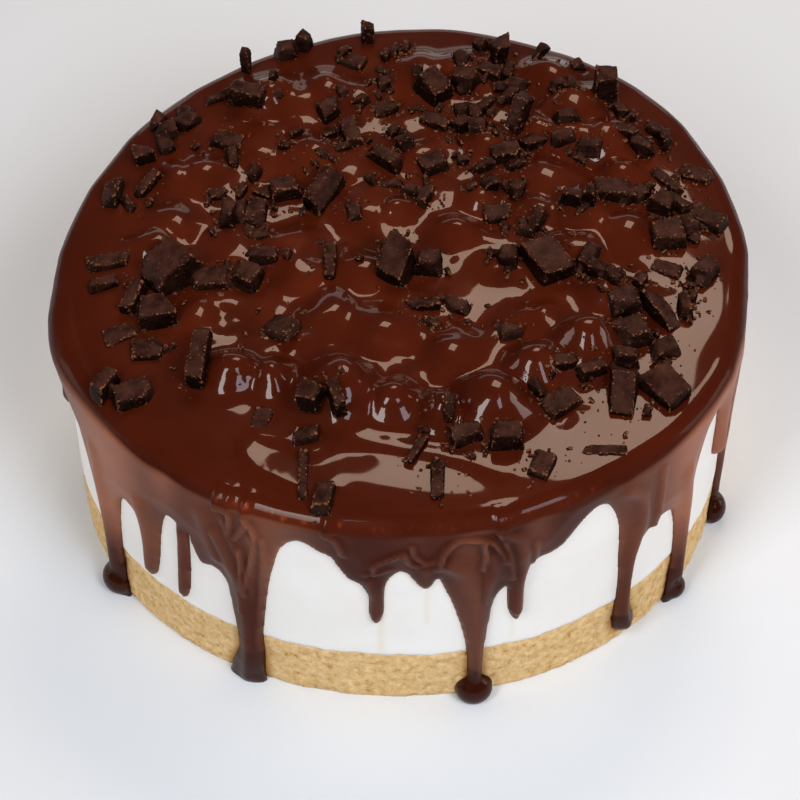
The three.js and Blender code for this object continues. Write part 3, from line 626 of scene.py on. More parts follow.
def build_glaze(material):
    keys, polygons, outer, inner, on_edge, thickness, row_count = curtain_mesh()
    vertices, tints, glows, faces = [], [], [], []

    def add_points(points, tint=0.0, glow=0.0):
        """Adds points with their marks, and returns their numbers."""
        start = sum(map(len, vertices))
        vertices.append(points)
        tints.append(np.broadcast_to(tint, len(points)))
        glows.append(np.broadcast_to(glow, len(points)))
        return list(range(start, start + len(points)))

    def bridge(upper, lower):
        for j in range(COLUMNS):
            after = (j + 1) % COLUMNS
            faces.append([upper[j], lower[j], lower[after], upper[after]])

    # The curtain: both skins, and the strips under the feet.
    above_feet = np.clip((outer[:, 2] - FOOT_DARK) / FOOT_DARK, 0, 1)
    # The outer skin's tint carries the curtain's painted sheen and reflection, less of it in the feet.
    sheen_paint = painted_sheen(np.arctan2(outer[:, 1], outer[:, 0]), outer[:, 2])
    index = np.array(add_points(outer, FOOT_TINT + (CURTAIN_TINT + sheen_paint - FOOT_TINT) * above_feet))
    index[~on_edge] = add_points(inner[~on_edge], CURTAIN_TINT)
    inner_index = index.tolist()
    for ring in polygons:
        ids = [keys[key] for key in ring]
        faces += [ids, [inner_index[i] for i in reversed(ids)]]
    faces += foot_strips(keys, polygons, inner_index, row_count - 1)

    # Round the edge, from the curtain up to the flat top.
    top_row = [keys[("n", 0, j)] for j in range(COLUMNS)]
    skin = GLAZE_TOP - FILLING_TOP
    crest = 0.35 * np.sin(9 * AZIMUTHS + 1.0) + 0.25 * np.sin(23 * AZIMUTHS + 0.4)
    shoulder = wall(AZIMUTHS) - SHOULDER
    flat = on_cake(AZIMUTHS, shoulder, GLAZE_TOP)
    bumps = relief(flat[:, 0], flat[:, 1])
    ring = top_row
    for turn in np.linspace(90, 0, EDGE_RINGS + 1)[1:]:
        rise, out_share = turned(turn)
        out = SHOULDER + skin + (thickness[top_row] - BITE - skin) * turn / 90 + crest * out_share * rise
        points = on_cake(AZIMUTHS, shoulder + out * out_share, CURTAIN_START + out * rise + bumps * rise)
        upper = add_points(points, edge_tint(AZIMUTHS, turn), edge_glow(AZIMUTHS, turn))
        bridge(upper, ring)
        ring = upper
    # The flat margin, in rings as far as the triangular grid.
    for k in range(1, MARGIN_RINGS + 1):
        share = k / MARGIN_RINGS
        radius = (1 - share) * shoulder + share * TOP_RING * unevenness(AZIMUTHS)
        points = on_cake(AZIMUTHS, radius, GLAZE_TOP)
        points[:, 2] = glaze_top(points[:, 0], points[:, 1])
        upper = add_points(points, glow=top_sheen_paint(points[:, 0], points[:, 1]))
        bridge(upper, ring)
        ring = upper
    # The grid: the last ring's corners and the points inside it.
    grid = hex_points(TOP_RING) + np.array([SIDE_DRIFT, 0])
    flat_points = [Vector(p) for p in np.concatenate([vertices[-1][:, :2], grid])]
    made = geometry.delaunay_2d_cdt(flat_points, [], [list(range(COLUMNS))], 1, 1e-6)
    placed = np.array([tuple(p) for p in made[0]])
    source = np.array([origin[0] if origin else -1 for origin in made[3]])
    on_ring = (source >= 0) & (source < COLUMNS)
    spots = placed[~on_ring]
    number = np.empty(len(placed), int)
    number[on_ring] = np.array(ring)[source[on_ring]]
    number[~on_ring] = add_points(np.column_stack([spots, glaze_top(*spots.T)]), glow=top_sheen_paint(*spots.T))
    triangles = np.array(made[2])
    one, two, three = placed[triangles].transpose(1, 2, 0)
    area = (two[0] - one[0]) * (three[1] - one[1]) - (three[0] - one[0]) * (two[1] - one[1])
    triangles[area <= 0] = triangles[area <= 0, ::-1]
    faces += number[triangles].tolist()
    # Underneath: round the filling's edge and flat across it.
    ring = [inner_index[k] for k in top_row]
    for turn in INNER_TURNS:
        rise, out_share = turned(turn)
        radius = shoulder + (SHOULDER - BITE) * out_share
        inner_ring = add_points(on_cake(AZIMUTHS, radius, CURTAIN_START + (SHOULDER - BITE) * rise))
        bridge(ring, inner_ring)
        ring = inner_ring
    middle = add_points(on_cake(0.0, 0.0, FILLING_TOP - BITE).reshape(1, 3))
    faces += [[ring[j], *middle, ring[(j + 1) % COLUMNS]] for j in range(COLUMNS)]

    tint, glow = np.concatenate(tints), np.concatenate(glows)
    deep = np.zeros(len(tint))
    deep[:len(outer)] = 0.55 * (1 - above_feet)
    piece = make_object("glaze_coat", np.concatenate(vertices), faces, material, glow=glow, deep=deep)
    ridges = np.clip(standing_out(*mesh_arrays(piece.data))[:len(outer)], -0.3, 0.4)
    # Ridges on the curtain get a painted highlight and hollows a painted shade.
    tint[:len(outer)] += PAINTED_RIDGE_LIGHT * ridges * above_feet
    add_mark(piece.data, "tint", tint)
    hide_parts("glaze")
    return piece


# ---------------------------------------------------------------- chopped chocolate

CHUNK_SEED = 19
CHUNK_SINK = 1.3               # the glaze hides this much of a piece's foot
CHUNK_VOXEL = 0.42
BIT_VOXEL = 0.36
MOST_TRIANGLES = 190000        # in each of the two chocolate pieces
SLOPE_STEP = 3.0
SETTLE_LIMIT = 2.0
BLOCK_WOBBLE = 0.75
BLOCK_TAPER = {-0.5: 1.06, 0.5: 0.8}       # how wide a block is at its foot and its top
CHUNK_GROWTH = 1.05            # makes up for the corners that are broken off
EDGE_SHARP = 0.10              # a point this far out of its neighbours' plane is on an edge

# Smaller pieces placed one by one: x, y, length, width, thickness, turn, and lean if there is any.
SMALL_BITS = [
    (-94, -11, 9, 5, 4, 20), (-43, -2, 9, 5, 6, -5), (9, -6, 9, 7, 8, 0),
    (35, -5, 8, 7, 7, 0), (60, -6, 9, 6, 4, 55, 30), (81, -44, 9, 7, 5, 20),
    (68, -49, 8, 6, 7, 10), (50, -51, 8, 6, 5, 0), (41, -60, 9, 4, 5, 128),
    (14, -72, 9, 4, 4, 85, 60), (-29, -76, 9, 5, 4, 15), (97, -12, 9, 8, 8, 45),
    (86, 18, 9, 7, 7, 150), (-3, 68, 9, 6, 5, 20), (55, 47, 8, 6, 5, 25),
    (24, 78, 9, 7, 6, 150), (40, 76, 9, 6, 6, 150), (-55, 16, 9, 5, 8, 80),
    (-76, 58, 8, 6, 6, 30), (-84, 47, 9, 6, 6, 10), (-22, 65, 8, 7, 6, 30),
    (-51, 90, 10, 4, 4, 80, 75), (-37, 98, 8, 7, 6, 10), (-31, 102, 6, 5, 7, 60),
    (-61, 75, 9, 3, 3, 25), (-56, 77, 8, 4, 3, 20), (-70, 63, 8, 6, 5, 50),
    (-71, 69, 6, 5, 4, 20), (-80, 64, 7, 5, 5, 70), (-77, 52, 7, 5, 5, 110),
    (-54, 44, 9, 4, 4, 100, 20), (-47, 38, 6, 4, 5, 70), (-51, 29, 7, 3, 4, 70),
    (-51, 18, 8, 5, 6, 85), (-59, 28, 7, 4, 3, 15), (-44, 29, 8, 4, 3, 150),
    (-88, 25, 7, 3, 4, 120), (-37, 48, 6, 3, 3, 160), (-25, 43, 6, 4, 3, 130),
    (-22, 55, 6, 4, 4, 30), (-18, 48, 7, 4, 3, 20), (-13, 91, 9, 7, 3, 160),
    (-17, 98, 5, 4, 3, 40), (-19, 93, 4, 3, 3, 100), (-9, 104, 9, 4, 4, 95, 80),
    (-3, 94, 5, 4, 4, 60), (0, 97, 4, 3, 3, 10), (4, 98, 5, 4, 4, 80),
    (-4, 79, 6, 5, 5, 100), (-4, 87, 7, 3, 2, 145), (-41, 77, 4, 3, 5, 80),
    (-18, 73, 4, 4, 4, 30), (-11, 70, 5, 4, 4, 60), (-1, 57, 6, 4, 4, 35),
    (3, 49, 6, 6, 6, 20), (-3, 31, 8, 3, 3, 15), (4, 28, 5, 5, 4, 60), (9, 25, 9, 5, 5, 68),
    (-14, 17, 5, 5, 4, 0), (-2, 5, 8, 4, 3, 30), (-44, 9, 6, 4, 3, 20),
    (30, 97, 6, 5, 6, 30), (36, 91, 9, 7, 8, 100, 80), (23, 87, 7, 5, 5, 30),
    (36, 84, 9, 4, 4, 158), (50, 93, 9, 4, 4, 38, 30), (62, 86, 6, 5, 4, 20),
    (23, 67, 9, 6, 4, 15), (27, 63, 7, 5, 5, 100), (22, 58, 6, 6, 6, 40),
    (27, 56, 6, 5, 5, 0), (30, 68, 6, 4, 4, 60), (55, 74, 5, 4, 3, 20),
    (58, 71, 4, 3, 3, 0), (39, 72, 5, 5, 5, 45), (41, 55, 5, 3, 5, 70),
    (45, 48, 9, 6, 5, 20), (56, 56, 8, 6, 5, 20), (64, 44, 8, 5, 5, 160),
    (76, 50, 9, 4, 5, 155), (81, 45, 9, 5, 6, 140), (86, 54, 8, 4, 5, 135),
    (89, 49, 9, 4, 6, 95), (75, 63, 6, 4, 5, 120), (79, 59, 4, 3, 6, 80),
    (22, 42, 5, 4, 4, 0), (29, 38, 8, 4, 4, 20), (39, 38, 7, 5, 4, 10),
    (30, 27, 7, 5, 5, 20), (39, 26, 7, 6, 6, 50), (56, 17, 8, 5, 6, 160),
    (62, 18, 6, 4, 8, 80), (45, 11, 9, 4, 5, 60, 20), (41, 8, 6, 4, 5, 150),
    (74, 23, 7, 5, 5, 10), (79, 25, 6, 5, 4, 120), (91, 19, 9, 4, 5, 130),
    (95, 17, 6, 4, 3, 160), (93, 9, 9, 6, 6, 110), (63, -12, 8, 5, 6, 150),
    (67, -17, 6, 4, 6, 110), (76, -15, 5, 4, 6, 60), (89, -26, 9, 4, 7, 95),
    (92, -22, 5, 3, 5, 80), (18, -24, 8, 5, 4, 150), (34, -35, 8, 5, 4, 15),
    (10, -31, 6, 3, 3, 150),
]
BARE_FRONT = -62               # no loose bits in front of this on the left half
BARE_LEFT = 88                 # nor outside this radius there
SPLINTERS_EACH, CRUMBS_EACH = 2, 18        # round each piece
SPLINTERS_END, CRUMBS_END = 104, 105       # none lies outside this radius
CRUMB_EDGE = 0.05              # crumbs look as pale as broken edges


def is_bare(x, y):
    return (y < BARE_FRONT and x < -8) or (math.hypot(x, y) > BARE_LEFT and x < 0)


def foot_height(x, y):
    """Where a piece at this place rests: lower on a slope that falls towards the front."""
    xs, ys = np.array([x, x + SLOPE_STEP], float), np.array([y, y - SLOPE_STEP], float)
    here, lower = glaze_top(xs, ys)
    return float(min(here, 0.5 * (here + lower)))


def wrap_points(body, points):
    """Makes the bmesh the convex body round the points."""
    body.clear()
    for point in points:
        body.verts.new(point)
    bmesh.ops.convex_hull(body, input=body.verts[:])
    bmesh.ops.delete(body, geom=[v for v in body.verts if not v.link_faces], context="VERTS")


def hull_piece(points, draw, cuts):
    """A convex body round the points with a few corners broken off, as a bmesh."""
    body = bmesh.new()
    wrap_points(body, points)
    middle = sum((v.co for v in body.verts), Vector()) / len(body.verts)
    size = sum((v.co - middle).length for v in body.verts) / len(body.verts)
    for _ in range(cuts):
        direction = Vector((2 * draw() - 1, 2 * draw() - 1, 1.2 * draw() - 0.2)).normalized()
        place = middle + direction * size * (0.74 + 0.22 * draw())
        bmesh.ops.bisect_plane(body, geom=body.verts[:] + body.edges[:] + body.faces[:],
                               plane_co=place, plane_no=direction, clear_outer=True)
        wrap_points(body, [v.co.copy() for v in body.verts])
    return body


def block_points(row, draw):
    """Corners of a chopped block that lies on the glaze."""
    x, y, length, width, thickness, turn, lean = (*row, 0)[:7]
    points = []
    for sides in itertools.product((-0.5, 0.5), repeat=3):
        taper = BLOCK_TAPER[sides[2]]
        stretch = zip(sides, (length * taper, width * taper, thickness))
        points.append(Vector([side * size * (1 + BLOCK_WOBBLE * (draw() - 0.6)) for side, size in stretch]))
    rise = math.radians(lean)
    spin = Matrix.Rotation(math.radians(turn), 3, "Z") @ Matrix.Rotation(-rise, 3, "Y")
    reach = 0.5 * (length * abs(math.sin(rise)) + thickness * abs(math.cos(rise)))
    place = Vector((x, y, foot_height(x, y) + reach - min(CHUNK_SINK, 0.3 * thickness)))
    return [spin @ point + place for point in points]


def mesh_arrays(mesh):
    """The places (mm) and normals of a mesh's points, and the ends of its edges."""
    count = len(mesh.vertices)
    places, normals = np.empty(3 * count), np.empty(3 * count)
    ends = np.empty(2 * len(mesh.edges), int)
    mesh.vertices.foreach_get("co", places)
    mesh.vertex_normals.foreach_get("vector", normals)
    mesh.edges.foreach_get("vertices", ends)
    return places.reshape(-1, 3) / MM, normals.reshape(-1, 3), ends.reshape(-1, 2)


def neighbour_mean(values, ends):
    """The mean of each point's neighbours."""
    sums, shares = np.zeros_like(values), np.zeros(len(values))
    for one, other in (ends.T, ends[:, ::-1].T):
        np.add.at(sums, one, values[other])
        np.add.at(shares, one, 1)
    return sums / (shares if values.ndim == 1 else shares[:, None])


def standing_out(places, normals, ends):
    """How far each point stands out from its neighbours, in millimetres."""
    outward = ((places - neighbour_mean(places, ends)) * normals).sum(axis=1)
    for _ in range(2):
        outward = 0.5 * outward + 0.5 * neighbour_mean(outward, ends)
    return outward


def roughen(mesh, coarse, fine, ragged):
    """Moves the points along their normals by noise, so that faces look broken."""
    places, normals, ends = mesh_arrays(mesh)
    sharp = np.clip(standing_out(places, normals, ends) / EDGE_SHARP, 0, 1)
    offsets = np.empty(len(places))
    for k, place in enumerate(map(Vector, places.tolist())):
        broad = noise.noise(place * 0.32)
        grain = noise.noise(place * 0.95) + 0.6 * noise.noise(place * 2.1)
        chip = max(0.0, noise.noise(place * 0.7 + Vector((9, 4, 7))) + 0.1)
        offsets[k] = coarse * broad + fine * grain - ragged * chip * sharp[k]
    places += normals * offsets[:, None]
    mesh.vertices.foreach_set("co", (places * MM).ravel())
    mesh.update()


def apply_modifier(piece, kind, **settings):
    """Applies a modifier to the piece's mesh."""
    modifier = piece.modifiers.new("step", kind)
    for name, value in settings.items():
        setattr(modifier, name, value)
    evaluated = piece.evaluated_get(bpy.context.evaluated_depsgraph_get())
    mesh = bpy.data.meshes.new_from_object(evaluated)
    piece.modifiers.clear()
    old = piece.data
    piece.data = mesh
    bpy.data.meshes.remove(old)


def chocolate_piece(name, bodies, material, voxel, *roughness):
    """One mesh of all the bodies, broken at its faces, with marks for its material."""
    vertices, faces = [], []
    for body in bodies:
        start = len(vertices)
        body.verts.index_update()
        vertices.extend(tuple(v.co) for v in body.verts)
        faces.extend([start + v.index for v in face.verts] for face in body.faces)
        body.free()
    piece = make_object(name, vertices, faces, material)
    apply_modifier(piece, "REMESH", mode="VOXEL", voxel_size=voxel * MM)
    roughen(piece.data, *roughness)
    places, normals, ends = mesh_arrays(piece.data)
    add_mark(piece.data, "edge", standing_out(places, normals, ends))
    # Upward faces get a painted sheen: the more a face looks up, the lighter it is painted.
    add_mark(piece.data, "dusty", np.clip(normals[:, 2], 0, 1))
    apply_modifier(piece, "DECIMATE", ratio=min(MOST_TRIANGLES / (2 * len(piece.data.polygons)), 1.0))
    piece.data.polygons.foreach_set("use_smooth", [True] * len(piece.data.polygons))
    return piece


def build_chunks(material):
    """The larger pieces, each in the place of its own CAD node."""
    draw = make_random(CHUNK_SEED)
    bodies = []
    names = sorted(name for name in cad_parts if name.startswith("chunk_"))
    for name in names:
        points = [v.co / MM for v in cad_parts[name].data.vertices]
        middle = sum(points, Vector()) / len(points)
        settle = foot_height(middle.x, middle.y) - CHUNK_SINK - min(p.z for p in points)
        settle = max(-SETTLE_LIMIT, min(SETTLE_LIMIT, settle))
        grown = [middle + CHUNK_GROWTH * (p - middle) + Vector((0, 0, settle)) for p in points]
        bodies.append(hull_piece(grown, draw, 2))
    piece = chocolate_piece("chopped_chocolate", bodies, material, CHUNK_VOXEL, 0.08, 0.13, 1.5)
    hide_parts(*names)


def piece_places():
    """Middle and reach of each piece that was placed, in millimetres."""
    places = []
    for name in sorted(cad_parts):
        if name.startswith("chunk_"):
            low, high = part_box(name)
            middle = (low + high) / 2 / MM
            places.append((middle.x, middle.y, 0.5 * max((high - low).xy) / MM))
    return places + [(row[0], row[1], 0.5 * row[2]) for row in SMALL_BITS]


def scattered(draw, each, away_rule, size_rule, limit):
    """Places round every piece, each with its size and whether it may be used."""
    for x, y, reach in piece_places():
        for _ in range(each):
            angle = 2 * math.pi * draw()
            away = away_rule(reach, draw())
            place = (x + away * math.cos(angle), y + away * math.sin(angle))
            yield place, size_rule(draw()), not is_bare(*place) and math.hypot(*place) < limit


def build_bits(material):
    """The smaller pieces, with splinters round all of them."""
    draw = make_random(CHUNK_SEED + 1)
    rows = list(SMALL_BITS)
    for place, size, free in scattered(draw, SPLINTERS_EACH, lambda reach, d: reach + 0.5 + 5.0 * d ** 1.5,
                                       lambda d: 1.8 + 3.0 * d ** 1.6, SPLINTERS_END):
        shape = (0.4 + 0.5 * draw(), 0.3 + 0.4 * draw(), 180 * draw(), 50 * draw())
        if free:
            rows.append((*place, size, size * shape[0], size * shape[1], shape[2], shape[3]))
    bodies = [hull_piece(block_points(row, draw), draw, 1) for row in rows]
    piece = chocolate_piece("chocolate_bits", bodies, material, BIT_VOXEL, 0.08, 0.12, 1.1)
    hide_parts("glaze")


def build_crumbs(material):
    """Grains that fell off the pieces."""
    draw = make_random(CHUNK_SEED + 2)
    template = bmesh.new()
    bmesh.ops.create_icosphere(template, subdivisions=1, radius=0.5)
    corners = np.array([v.co for v in template.verts])
    sides = np.array([[v.index for v in face.verts] for face in template.faces])
    template.free()
    spots = []
    for place, size, free in scattered(
            draw, CRUMBS_EACH, lambda reach, d: reach * 0.8 - 1.9 * math.log(1 - 0.97 * d),
            lambda d: 0.35 + 1.0 * d ** 3, CRUMBS_END):
        if free:
            spots.append((*place, size, draw(), draw(), draw()))
    spots = np.array(spots)
    heights = glaze_top(spots[:, 0], spots[:, 1])
    vertices, faces = [], []
    for (x, y, size, one, two, three), height in zip(spots, heights):
        wobble = 1 + 0.35 * np.sin(corners @ np.array([9 * one, 9 * two, 9 * three]) * 3 + 6 * one)
        stretch = np.array([1 + one, 1 + 0.6 * two, 0.7 + 0.6 * three]) * size
        faces.extend((len(vertices) + sides).tolist())
        vertices.extend(corners * wobble[:, None] * stretch + np.array([x, y, height + 0.2 * size]))
    # Crumbs carry the painted top sheen all over.
    piece = make_object("chocolate_crumbs", vertices, faces, material, smooth=False,
                        edge=[CRUMB_EDGE] * len(vertices), dusty=[1.0] * len(vertices))


# ---------------------------------------------------------------- filling and crumb base

LAYER_ROW = 0.8
# Faint marks on the filling: azimuth, height of the upper and lower end, width, strength.
STAINS = [(-94.8, 43, 29, 1.2, 0.4), (-87.3, 60, 44, 1.0, 0.35), (-13, 66, 58, 2.0, 0.8),
          (-72.8, 40, 30, 0.9, 0.3)]


def join_height(a):
    """Where the crumb base and the filling meet."""
    return (BASE_HEIGHT + 0.1 + 0.30 * np.sin(7 * a + 1) + 0.24 * np.sin(19 * a + 2.2)
            + 0.20 * np.sin(43 * a + 0.4) + 0.15 * np.sin(101 * a))


def noise_at(places, *layers):
    """The sum of some layers of noise, each given by its height and its scale."""
    return sum(height * np.array([noise.noise(Vector(place)) for place in (places * scale).tolist()])
               for height, scale in layers)


def layer_piece(name, rows, material, node, attribute, values):
    """A closed round body from rings, lowest first, with a point at each end."""
    vertices = np.concatenate([rows[0].mean(axis=0)[None], *rows, rows[-1].mean(axis=0)[None]])
    last = 1 + (len(rows) - 1) * COLUMNS
    faces = []
    for j in range(COLUMNS):
        after = (j + 1) % COLUMNS
        faces.append([0, 1 + after, 1 + j])
        for here in range(1, last, COLUMNS):
            above = here + COLUMNS
            faces.append([here + j, here + after, above + after, above + j])
        faces.append([last + j, last + after, len(vertices) - 1])
    marks = {attribute: np.concatenate([[0], *values, [0]])}
    piece = make_object(name, vertices, faces, material, **marks)
    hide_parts(node)


def beside_drips(z, reach):
    """1 at the edge of the curtain or a drip, falling to 0 within the reach."""
    return np.exp(-(front_edge_distance(degrees_of(AZIMUTHS) * ARC, z) / reach) ** 2)


def build_base(material):
    """The crumb base: pressed crumbs with an uneven foot."""
    top = join_height(AZIMUTHS)
    radius = BASE_RADIUS * unevenness(AZIMUTHS)
    count = int(BASE_HEIGHT / LAYER_ROW)
    rows, values = [], []
    for k in range(count + 1):
        z = top * k / count
        flat = on_cake(AZIMUTHS, radius, z)
        crumbs = noise_at(flat, (0.42, 0.15), (0.22, 0.62), (0.26, 1.5))
        pits = -3.0 * np.maximum(noise_at(flat + 50, (1.0, 0.4)) - 0.32, 0)
        rounding = -1.3 * np.exp(-z / 1.1) - 0.4 * np.exp(-(top - z) / 0.8)
        rows.append(on_cake(AZIMUTHS, radius + crumbs + pits + rounding, z))
        # Darker beside the edges of the curtain and drips, less so near the top of the base.
        values.append(beside_drips(z, 1.7) * np.clip(1.4 - z / 24, 0, 1))
    layer_piece("crumb_layer", rows, material, "crumb_base", "drip_edge_dark", values)


def build_filling(material):
    """The filling: smooth cream with faint dents and marks."""
    degrees = degrees_of(AZIMUTHS)
    low, radius = join_height(AZIMUTHS), wall(AZIMUTHS)
    count = int((CURTAIN_START - BASE_HEIGHT) / (1.6 * LAYER_ROW))
    rows, values = [], []
    for k in range(count + 1):
        z = low + (CURTAIN_START - low) * k / count
        flat = on_cake(AZIMUTHS, radius, z)
        dents = noise_at(flat, (0.20, 0.07), (0.06, 0.3)) - 0.1
        rows.append(on_cake(AZIMUTHS, radius + dents - 0.5 * np.exp(-(z - low) / 0.7), z))
        # A faint darker band beside the edges of the curtain and drips.
        marks = 0.25 * beside_drips(z, 1.0)
        for azimuth, upper, lower, width, strength in STAINS:
            across = wrap_degrees(degrees - azimuth) * ARC / width
            along = np.maximum(np.maximum(z - upper, lower - z), 0) / 3
            marks = np.maximum(marks, strength * np.exp(-across ** 2 - along ** 2))
        values.append(marks)
    for turn in INNER_TURNS:
        rise, out_share = turned(turn)
        turned_in = radius - SHOULDER + SHOULDER * out_share
        rows.append(on_cake(AZIMUTHS, turned_in, CURTAIN_START + SHOULDER * rise))
        values.append(np.zeros(COLUMNS))
    layer_piece("cream_layer", rows, material, "filling", "stain", values)


# ---------------------------------------------------------------- materials

def add_node(tree, kind, output, inputs, **settings):
    """A node with its settings and its inputs, which are values or other nodes' outputs."""
    node = tree.nodes.new("ShaderNode" + kind)
    for name, value in settings.items():
        setattr(node, name, value)
    fill_inputs(tree, node, inputs)
    return node.outputs[output]


def fill_inputs(tree, node, inputs):
    for name, value in inputs.items():
        if isinstance(value, bpy.types.NodeSocket):
            tree.links.new(value, node.inputs[name])
        else:
            node.inputs[name].default_value = (*value, 1) if isinstance(value, tuple) else value


def mark_value(tree, name):
    return add_node(tree, "Attribute", "Fac", {}, attribute_name=name)


def noise_value(tree, scale, detail=4.0, roughness=0.55):
    place = add_node(tree, "TexCoord", "Object", {})
    return add_node(tree, "TexNoise", "Fac",
                    {"Scale": scale, "Detail": detail, "Roughness": roughness, "Vector": place})


def ramp_color(tree, source, *stops):
    """A colour for each value; a stop is a place and a colour, or one number for a grey."""
    ramp = tree.nodes.new("ShaderNodeValToRGB")
    elements = ramp.color_ramp.elements
    while len(elements) < len(stops):
        elements.new(0.5)
    for element, (place, color) in zip(elements, stops):
        element.position = place
        element.color = (*color, 1) if isinstance(color, tuple) else (color, color, color, 1)
    tree.links.new(source, ramp.inputs["Fac"])
    return ramp.outputs["Color"]


def mixed(tree, share, one, other, blend="MIX"):
    return add_node(tree, "Mix", "Result", {"Factor": share, "A": one, "B": other},
                    data_type="RGBA", blend_type=blend)


def node_material(name, paint, grain, shine):
    """A material: paint(tree) makes its colour, grain is the scale, detail, strength and depth of
    its bumps, and shine holds the shader's other inputs."""
    material = bpy.data.materials.new(name)
    material.use_nodes = True
    tree = material.node_tree
    shader = tree.nodes["Principled BSDF"]
    scale, detail, strength, depth = grain
    bumps = {"Strength": strength, "Distance": depth, "Height": noise_value(tree, scale, detail)}
    fill_inputs(tree, shader, {"Base Color": paint(tree), **shine,
                               "Normal": add_node(tree, "Bump", "Normal", bumps)})
    return material


def glaze_paint(tree):
    # Tint 0 is the top and 0.4 the curtain; towards 0.7 it is the pale brown of the painted sheen,
    # reflection and ridge highlight.
    color = ramp_color(tree, mark_value(tree, "tint"), (0.0, (0.070, 0.0095, 0.0030)),
                       (0.4, (0.053, 0.0095, 0.0046)), (0.7, (0.36, 0.134, 0.076)))
    # The glow colour is the light through the thin glaze under the crest, and the painted sheen on the top.
    color = mixed(tree, mark_value(tree, "glow"), color, (0.50, 0.085, 0.022))
    color = mixed(tree, mark_value(tree, "deep"), color, (0.012, 0.0035, 0.002))
    mottled = ramp_color(tree, noise_value(tree, 45), (0.3, 0.78), (0.7, 1.0))
    return mixed(tree, 1.0, color, mottled, "MULTIPLY")


def glaze_material():
    material = node_material("poured_glaze", glaze_paint, (180, 2, 0.04, 0.0005), {
        "Roughness": 0.36, "IOR": 1.16, "Specular IOR Level": 0.5, "Specular Tint": (1.0, 0.48, 0.30),
        "Coat Roughness": 0.05, "Coat IOR": 1.5})
    tree = material.node_tree
    wet = ramp_color(tree, mark_value(tree, "tint"), (0.0, 0.66), (0.25, 0.10), (0.4, 0.03))
    fill_inputs(tree, tree.nodes["Principled BSDF"], {"Coat Weight": wet})
    return material


def filling_paint(tree):
    cream = ramp_color(tree, noise_value(tree, 28, 5),
                       (0.35, (0.88, 0.87, 0.84)), (0.65, (0.925, 0.92, 0.90)))
    return mixed(tree, mark_value(tree, "stain"), cream, (0.80, 0.70, 0.50))


def base_paint(tree):
    biscuit = ramp_color(tree, noise_value(tree, 420, 6, 0.7), (0.30, (0.40, 0.21, 0.065)),
                         (0.42, (0.65, 0.42, 0.175)), (0.66, (0.84, 0.62, 0.33)))
    return mixed(tree, mark_value(tree, "drip_edge_dark"), biscuit, (0.42, 0.20, 0.055))


def chocolate_paint(tree):
    """Dark where it is broken, painted lighter on upward faces as a painted sheen, and rusty in crumbly
    specks along the edges.
    """
    shade = noise_value(tree, 220, 6)
    broken = ramp_color(tree, shade, (0.32, (0.0030, 0.0012, 0.0008)), (0.68, (0.0095, 0.0034, 0.0019)))
    dust = ramp_color(tree, shade, (0.32, (0.017, 0.0052, 0.0034)), (0.68, (0.064, 0.0240, 0.0168)))
    color = mixed(tree, mark_value(tree, "dusty"), broken, dust)
    specks = {0: mark_value(tree, "edge"), 1: 4.2, 2: noise_value(tree, 1300, 2)}
    crumbly = add_node(tree, "Math", "Value", specks, operation="MULTIPLY_ADD")
    return mixed(tree, ramp_color(tree, crumbly, (0.69, 0), (0.80, 1)), color, (0.20, 0.078, 0.036))


# ---------------------------------------------------------------- camera, floor and light

CAMERA_ELEVATION = 50.1
CAMERA_ROLL = -1.29
CAMERA_DISTANCE = 0.8845
FOCAL_PIXELS = 2538.0
FRAME_PIXELS = 800.0
PRINCIPAL_POINT = (403.3, 442.9)
LIT_POINT = (0, 0, 0.06)        # the soft lights face this point


def add_camera():
    elevation, roll = math.radians(CAMERA_ELEVATION), math.radians(CAMERA_ROLL)
    back = Vector((0, -math.cos(elevation), math.sin(elevation)))
    side = Vector((1, 0, 0))
    up = back.cross(side)
    right = side * math.cos(roll) + up * math.sin(roll)
    top = up * math.cos(roll) - side * math.sin(roll)
    data = bpy.data.cameras.new("camera")
    data.sensor_width = 36
    data.lens = FOCAL_PIXELS * data.sensor_width / FRAME_PIXELS
    data.shift_x = (FRAME_PIXELS / 2 - PRINCIPAL_POINT[0]) / FRAME_PIXELS
    data.shift_y = (PRINCIPAL_POINT[1] - FRAME_PIXELS / 2) / FRAME_PIXELS
    camera = bpy.data.objects.new("camera", data)
    camera.matrix_world = (Matrix.Translation(back * CAMERA_DISTANCE)
                           @ Matrix((right, top, back)).transposed().to_4x4())
    bpy.context.scene.collection.objects.link(camera)
    bpy.context.scene.camera = camera


def add_floor():
    mesh = bpy.data.meshes.new("floor")
    reach = 3.0
    mesh.from_pydata([(-reach, -reach, 0), (reach, -reach, 0), (reach, reach, 0), (-reach, reach, 0)],
                     [], [(0, 1, 2, 3)])
    material = bpy.data.materials.new("pale_floor")
    material.use_nodes = True
    tree = material.node_tree
    fill_inputs(tree, tree.nodes["Principled BSDF"], {"Base Color": (0.82, 0.88, 0.94), "Roughness": 0.6})
    mesh.materials.append(material)
    floor = bpy.data.objects.new("floor", mesh)
    bpy.context.scene.collection.objects.link(floor)


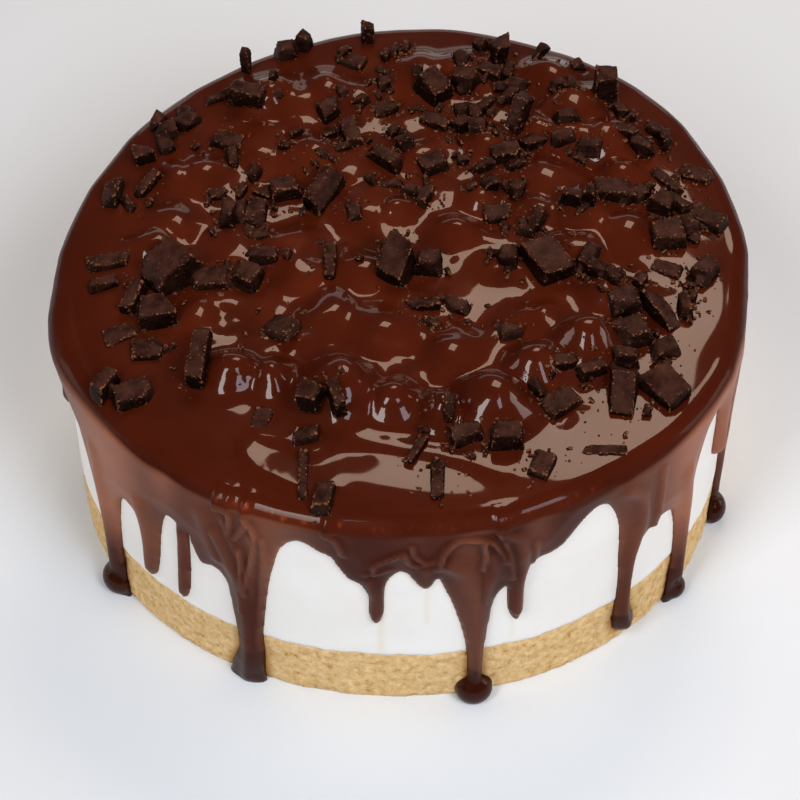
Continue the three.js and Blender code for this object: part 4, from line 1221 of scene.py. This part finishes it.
def add_light(name, place, size, radiance, color, spin=None):
    """A rectangular soft light; radiance is how bright it looks. With a spin it faces down."""
    data = bpy.data.lights.new(name, "AREA")
    data.shape = "RECTANGLE"
    data.size, data.size_y = size
    data.energy = radiance * math.pi * size[0] * size[1]
    data.color = color
    light = bpy.data.objects.new(name, data)
    light.location = place
    if spin is None:
        light.rotation_euler = (Vector(place) - Vector(LIT_POINT)).to_track_quat("Z", "Y").to_euler()
    else:
        light.rotation_euler = (0, 0, math.radians(spin))
    bpy.context.scene.collection.objects.link(light)
    return light


def add_lights():
    world = bpy.data.worlds.new("studio")
    world.use_nodes = True
    background = world.node_tree.nodes["Background"]
    background.inputs["Color"].default_value = (0.9, 0.95, 1.0, 1)
    background.inputs["Strength"].default_value = 0.03
    bpy.context.scene.world = world
    warm, cool, rosy = (1.0, 0.76, 0.58), (1.0, 0.98, 0.97), (1.0, 0.86, 0.78)
    blue = (0.86, 0.86, 1.0)
    add_light("ceiling_panel", (0.231, 0.905, 1.268), (0.5, 0.7), 6.3, warm, spin=-23.5)
    add_light("front_window", (-0.62, -0.877, 1.19), (0.42, 0.75), 10.0, cool)
    add_light("right_window", (0.55, -0.90, 1.10), (0.30, 0.42), 6.0, blue)
    fill = add_light("front_right", (0.614, -0.877, 1.19), (0.7, 0.7), 7.8, cool)
    fill.visible_glossy = False
    add_light("left_panel", (-1.33, 0.18, 0.36), (0.6, 0.5), 3.0, rosy)
    add_light("right_panel", (1.33, 0.10, 0.40), (0.6, 0.5), 3.6, rosy)
    add_light("back_panel", (0.0, 1.7, 0.35), (1.6, 0.4), 0.8, rosy)


add_camera()
add_floor()
add_lights()
bpy.context.scene.view_settings.view_transform = "Standard"

build_glaze(glaze_material())
build_filling(node_material("cream_filling", filling_paint, (260, 3, 0.12, 0.0004),
                            {"Roughness": 0.5, "Specular IOR Level": 0.3}))
build_base(node_material("biscuit_crumb", base_paint, (1100, 3, 0.5, 0.0004),
                         {"Roughness": 0.85, "Specular IOR Level": 0.2}))
chocolate = node_material("dark_chocolate", chocolate_paint, (900, 4, 0.25, 0.0003), {
    "Roughness": 0.42, "IOR": 1.16, "Specular IOR Level": 0.5, "Specular Tint": (1.0, 0.72, 0.58)})
build_chunks(chocolate)
build_bits(chocolate)
build_crumbs(chocolate)
